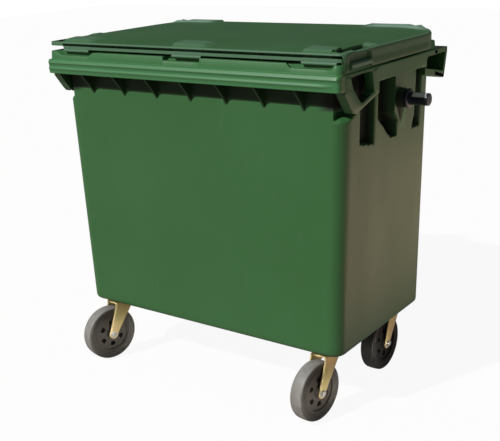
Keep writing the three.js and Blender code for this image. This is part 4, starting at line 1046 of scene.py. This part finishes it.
# %% Castor places
TRAIL, WHEEL = 56, 100
UPWARDS = np.array([0, 0, 1])
castors = {}
for joint in frame["joints"]:
    kind, _, name = joint["name"].partition("_")
    if kind in ("turn", "roll"):
        castors.setdefault(name, {})[kind] = np.array(joint["pos_m"]) / MM - DRAWING_SHIFT
for name, found in castors.items():
    towards = (found["roll"] - found["turn"])[:2] / TRAIL
    found["ahead"] = np.array([towards[0], towards[1], 0])
    found["axle"] = np.array([-towards[1], towards[0], 0])
    found["hub"] = found["roll"]
    found["base"] = found["turn"] * [1, 1, 0]
    print(name, "trails towards", towards.round(3))


def swung(points, found):
    """Castor points (along the trail, across, up) to their place under the tub."""
    return found["base"] + points @ np.stack([found["ahead"], found["axle"], UPWARDS])


# %% [markdown]
# A tyre is a ring of solid rubber with rounded shoulders, a slightly crowned tread and a
# shallow step on each side where it grips the hub. The hub is a ring, a boss and a web with
# six openings. The web is a polar grid, so openings that follow its rows and columns can
# simply be left out of it.

# %% Tyres and hubs
tyre_half = [
    (73.2, 22), (78, 23.5), (79.5, 22.4), (84, 22.8), (86, 24.6), (90, 25), (93, 24.6),
    (95.6, 23.4), (97.6, 21.4), (98.9, 18.6), (99.5, 15), (99.8, 10), (100, 5), (100, 0),
]
WEB_HALF = 17
tyre_section = np.array(tyre_half + [(r, -y) for r, y in tyre_half[-2::-1]])


def hub_web(shape, found):
    """A disc between boss and ring: two polar grids, with walls round the six openings.

    An opening takes the rows from 34 to 50 mm, and columns 6 to 13 of every 20.
    """
    radii = [22, 27, 34, 36, 48, 50, 56, 64.8]
    columns = np.arange(120)
    openings = np.zeros((len(radii) - 1, len(columns)), bool)
    openings[2:5] = (columns % 20 >= 6) & (columns % 20 < 14)
    r, a = np.meshgrid(radii, np.radians(3 * columns), indexing="ij")
    first = shape.count
    for y in (-WEB_HALF, WEB_HALF):
        points = [TRAIL + r * np.cos(a), np.full(r.shape, y), WHEEL + r * np.sin(a)]
        shape.grid(swung(np.stack(points, -1), found), around=True, openings=openings)
    for left in range(6, len(columns), 20):
        right = left + 8
        edge = [(2, column) for column in range(left, right)] + [(row, right) for row in (2, 3, 4)]
        edge += [(5, column) for column in range(right, left, -1)] + [(row, left) for row in (5, 4, 3)]
        outline = [first + row * len(columns) + column for row, column in edge]
        for here, there in zip(outline, outline[1:] + outline[:1]):
            shape.faces.append([here, there, there + r.size, here + r.size])


def tread_wear(found):
    """1 on the tread, 0 on the sides: how far a point lies from the axle line."""
    axle = found["axle"]

    def worn(drawn):
        offset = drawn - found["hub"]
        beside = offset @ axle
        radius = np.linalg.norm(offset - beside[:, None] * axle, axis=1)
        return smooth_step(radius, 97.2, 3.2)

    return worn


ring = [(64, 0), (64, 22.6), (72.9, 22.6), (72.9, 0), (72.9, -22.6), (64, -22.6), (64, 0)]
ring = soft_profile(ring, 1.5)[:-1]
core = [(6.6, 0), (6.6, 25.8), (20, 25.8), (25, 9)]
core = soft_profile(core + [(r, -y) for r, y in core[::-1]], 1.5)[:-1]
# The rear tyres and hubs get painted shade all over.
PAINTED_WHEEL_SHADE = {"front": 0, "rear": -0.9}
for name, found in castors.items():
    wheel_shade = PAINTED_WHEEL_SHADE[name.split("_")[0]]
    wheel = {"body": "wheel_" + name, "shade": lambda drawn, depth=wheel_shade: depth}
    turned(Shape(), tyre_section, found["hub"], found["axle"], 96).make(
        "tyre_ring_" + name, grey_tyre, "grey_tyre", nodes=["tyre_" + name],
        worn=tread_wear(found), **wheel,
    )
    hub = Shape()
    turned(hub, ring, found["hub"], found["axle"], 72)
    turned(hub, core, found["hub"], found["axle"], 36)
    hub_web(hub, found)
    hub.make("hub_disc_" + name, dark_hub, "dark_hub", nodes=["wheel_hub_" + name], sharp=30, **wheel)

# %% [markdown]
# A fork is one strip of steel, bent over the crown. Its middle line runs up one leg, across
# and down the other; its width narrows from the crown to the axle, where the end is round.
# The legs bulge a little, as pressed steel does, and the sheet then gets its thickness.

# %% Forks
FORK_OUT, FORK_TOP, FORK_THICK = 32, 219, 5
FORK_WIDE, FORK_NARROW = 36, 19


def fork_sheet(found):
    """Rows run along the strip, columns across it.

    A leg's row shifts from the crown's middle to the axle as it falls.
    """
    bend = 9
    leg_z = np.concatenate([[81.02, 81.6, 83, 86, 91, 98], np.linspace(108, FORK_TOP - bend, 12)])
    turn_angles = np.radians(np.linspace(15, 90, 6))
    leg = [(FORK_OUT, z) for z in leg_z]
    leg += [(FORK_OUT + bend * (math.cos(t) - 1), FORK_TOP + bend * (math.sin(t) - 1)) for t in turn_angles]
    crown = [(y, FORK_TOP) for y in (10, 0, -10)]
    path = np.array(leg + crown + [(-y, z) for y, z in leg[::-1]])
    z = path[:, 1]
    fall = np.clip((FORK_TOP - 14 - z) / (FORK_TOP - 14 - WHEEL), 0, 1)
    shift = TRAIL * fall
    width = FORK_WIDE + (FORK_NARROW - FORK_WIDE) * fall
    round_end = np.sqrt(np.clip(FORK_NARROW**2 - np.minimum(z - WHEEL, 0) ** 2, 0.3, None)) / FORK_NARROW
    width = width * np.where(z < WHEEL, round_end, 1)
    across = np.linspace(-1, 1, 13)
    bulge = 2.4 * (1 - across**2) ** 0.7
    upright_share = np.clip((FORK_TOP - bend - z) / 12, 0, 1) * np.clip((z - 84) / 20, 0, 1)
    x = shift[:, None] + width[:, None] * across
    y = path[:, :1] + np.sign(path[:, :1]) * bulge * upright_share[:, None]
    points = np.stack([x, y, np.broadcast_to(z[:, None], x.shape)], -1)
    return swung(points, found)


race = [(0, 210.5), (30, 210.5), (41, 214), (41, 219), (38, 221.5), (0, 221.5)]
race = soft_profile(race, 1.6)
head = [(0, 32), (14, 32), (14, 33.6), (10.4, 34), (10.4, 39.5), (7.5, 41.5), (0, 42)]
head = soft_profile(head, 1)
for name, found in castors.items():
    zinc = {"finish": yellow_zinc, "slot": "yellow_zinc", "body": "swivel_" + name}
    zinc["nodes"] = ["fork_" + name]
    sheet = Shape().grid(fork_sheet(found))
    sheet.make("fork_sheet_" + name, wall=FORK_THICK, sharp=50, **zinc)
    turned(Shape(), race, found["base"], UPWARDS, 48, [1, 0, 0]).make("fork_race_" + name, **zinc)
    bolt = Shape()
    for side in (-1, 1):
        turned(bolt, head, found["hub"], side * found["axle"], 24)
    turned(bolt, [(0, -32.5), (5.8, -32.5), (5.8, 32.5), (0, 32.5)], found["hub"], found["axle"], 24)
    replaced = ["axle_bolt_" + name, "axle_nut_" + name]
    bolt.make("axle_bolt_set_" + name, bright_steel, "bright_steel", "swivel_" + name, replaced)

# %% [markdown]
# Nuts, plates, hinge pins, buffers and the drain plug are hard, plain shapes that the packed
# model already holds, so they only take their finishes.

# %% Finishes of the parts that stay
KEPT = {
    "yellow_zinc": yellow_zinc, "bright_steel": bright_steel, "black_rubber": black_rubber,
    "body_green": body_green, "navy_plastic": navy_plastic,
}
slots = {row["node"]: row["material_slot"] for row in frame["record"]["subparts"]}
for node, piece in frame["nodes"].items():
    finish = KEPT.get(slots[node])
    if finish:
        piece.data.materials.clear()
        piece.data.materials.append(finish)
print("kept finishes set")

# %% [markdown]
# The camera sees a white floor and white air, but to everything else the floor is the colour
# of stone, a little brighter in mirror images, and the air is dim. The key light is a sun from
# the front left, steep enough to throw the rim's shadow on the wall below it. A warm card lies
# on the floor behind the right side: the side wall mirrors it, which gives the green its brown
# sheen. A narrow fill near the floor reaches the castors under the tub.

# %% Stage and light
FLOOR_HALF = 14
floor_mesh = bpy.data.meshes.new("floor")
corners = [(x * FLOOR_HALF, y * FLOOR_HALF, 0) for x, y in ((-1, -1), (1, -1), (1, 1), (-1, 1))]
floor_mesh.from_pydata(corners, [], [(0, 1, 2, 3)])
floor = new_object("floor", floor_mesh)
floor_finish = Finish("pale floor")
seen = floor_finish.value("ShaderNodeLightPath", output="Is Camera Ray")
mirrored = floor_finish.value("ShaderNodeLightPath", output="Is Glossy Ray")
stone, chalk = paint(138, 122, 106), paint(242, 242, 240)
floor_colour = floor_finish.blend(seen, stone, chalk)
floor_finish.set(Base_Color=floor_colour, Roughness=0.9, Specular_IOR_Level=0.1)
WHITE = (1, 1, 1, 1)
SEEN_WHITE, MIRRORED_WHITE = 0.93, 0.25
glow = floor_finish.value("ShaderNodeEmission", {}, {"Color": WHITE, "Strength": 1})
plain = Value(floor_finish, floor_finish.shader.outputs[0])
share = seen * SEEN_WHITE + mirrored * MIRRORED_WHITE
mixed = floor_finish.value("ShaderNodeMixShader", {}, {0: share, 1: plain, 2: glow})
floor_finish.tree.links.new(mixed.socket, floor_finish.out.inputs[0])
floor_mesh.materials.append(floor_finish.material)

AIR_LIGHT = 0.11
world = bpy.data.worlds.new("world")
bpy.context.scene.world = world
sky = Nodes(world)
seen = sky.value("ShaderNodeLightPath", output="Is Camera Ray")
strength = AIR_LIGHT + seen * (1 - AIR_LIGHT)
air = sky.value("ShaderNodeBackground", {}, {"Color": WHITE, "Strength": strength})
sky.node("ShaderNodeOutputWorld", {}, {0: air})


def lamp(name, kind, place, aim, energy, colour, size, spread=math.pi):
    """A lamp that stands at a place and shines at a point. For a sun only the direction counts."""
    data = bpy.data.lights.new(name, kind)
    data.energy = energy
    data.color = colour
    if kind == "SUN":
        data.angle = size
    else:
        data.shape = "RECTANGLE"
        data.size, data.size_y = size
        data.spread = spread
    light = new_object(name, data)
    light.visible_camera = False
    back = np.asarray(place, float) - aim
    back /= np.linalg.norm(back)
    across = np.cross([0, 1, 0], back)
    across /= np.linalg.norm(across)
    stand(light, across, np.cross(back, across), back, place)


DAYLIGHT, EARTH, CREAM = (1, 0.99, 0.97), (1, 0.66, 0.47), (1, 0.97, 0.9)
lamp("key", "SUN", (-0.9, -2.3, 2.15), (0, 0, 0), 3.4, DAYLIGHT, math.radians(2))
lamp("ground card", "AREA", (2.2, 1.7, 0.01), (2.2, 1.7, 1), 36, EARTH, (2.7, 3.4))
beam = math.radians(3.5)
lamp("low fill", "AREA", (3, -1.2, 0.09), (0, -0.3, 0.09), 0.26, CREAM, (0.06, 1.1), beam)
bpy.context.scene.view_settings.view_transform = "Standard"
print("lamps set")
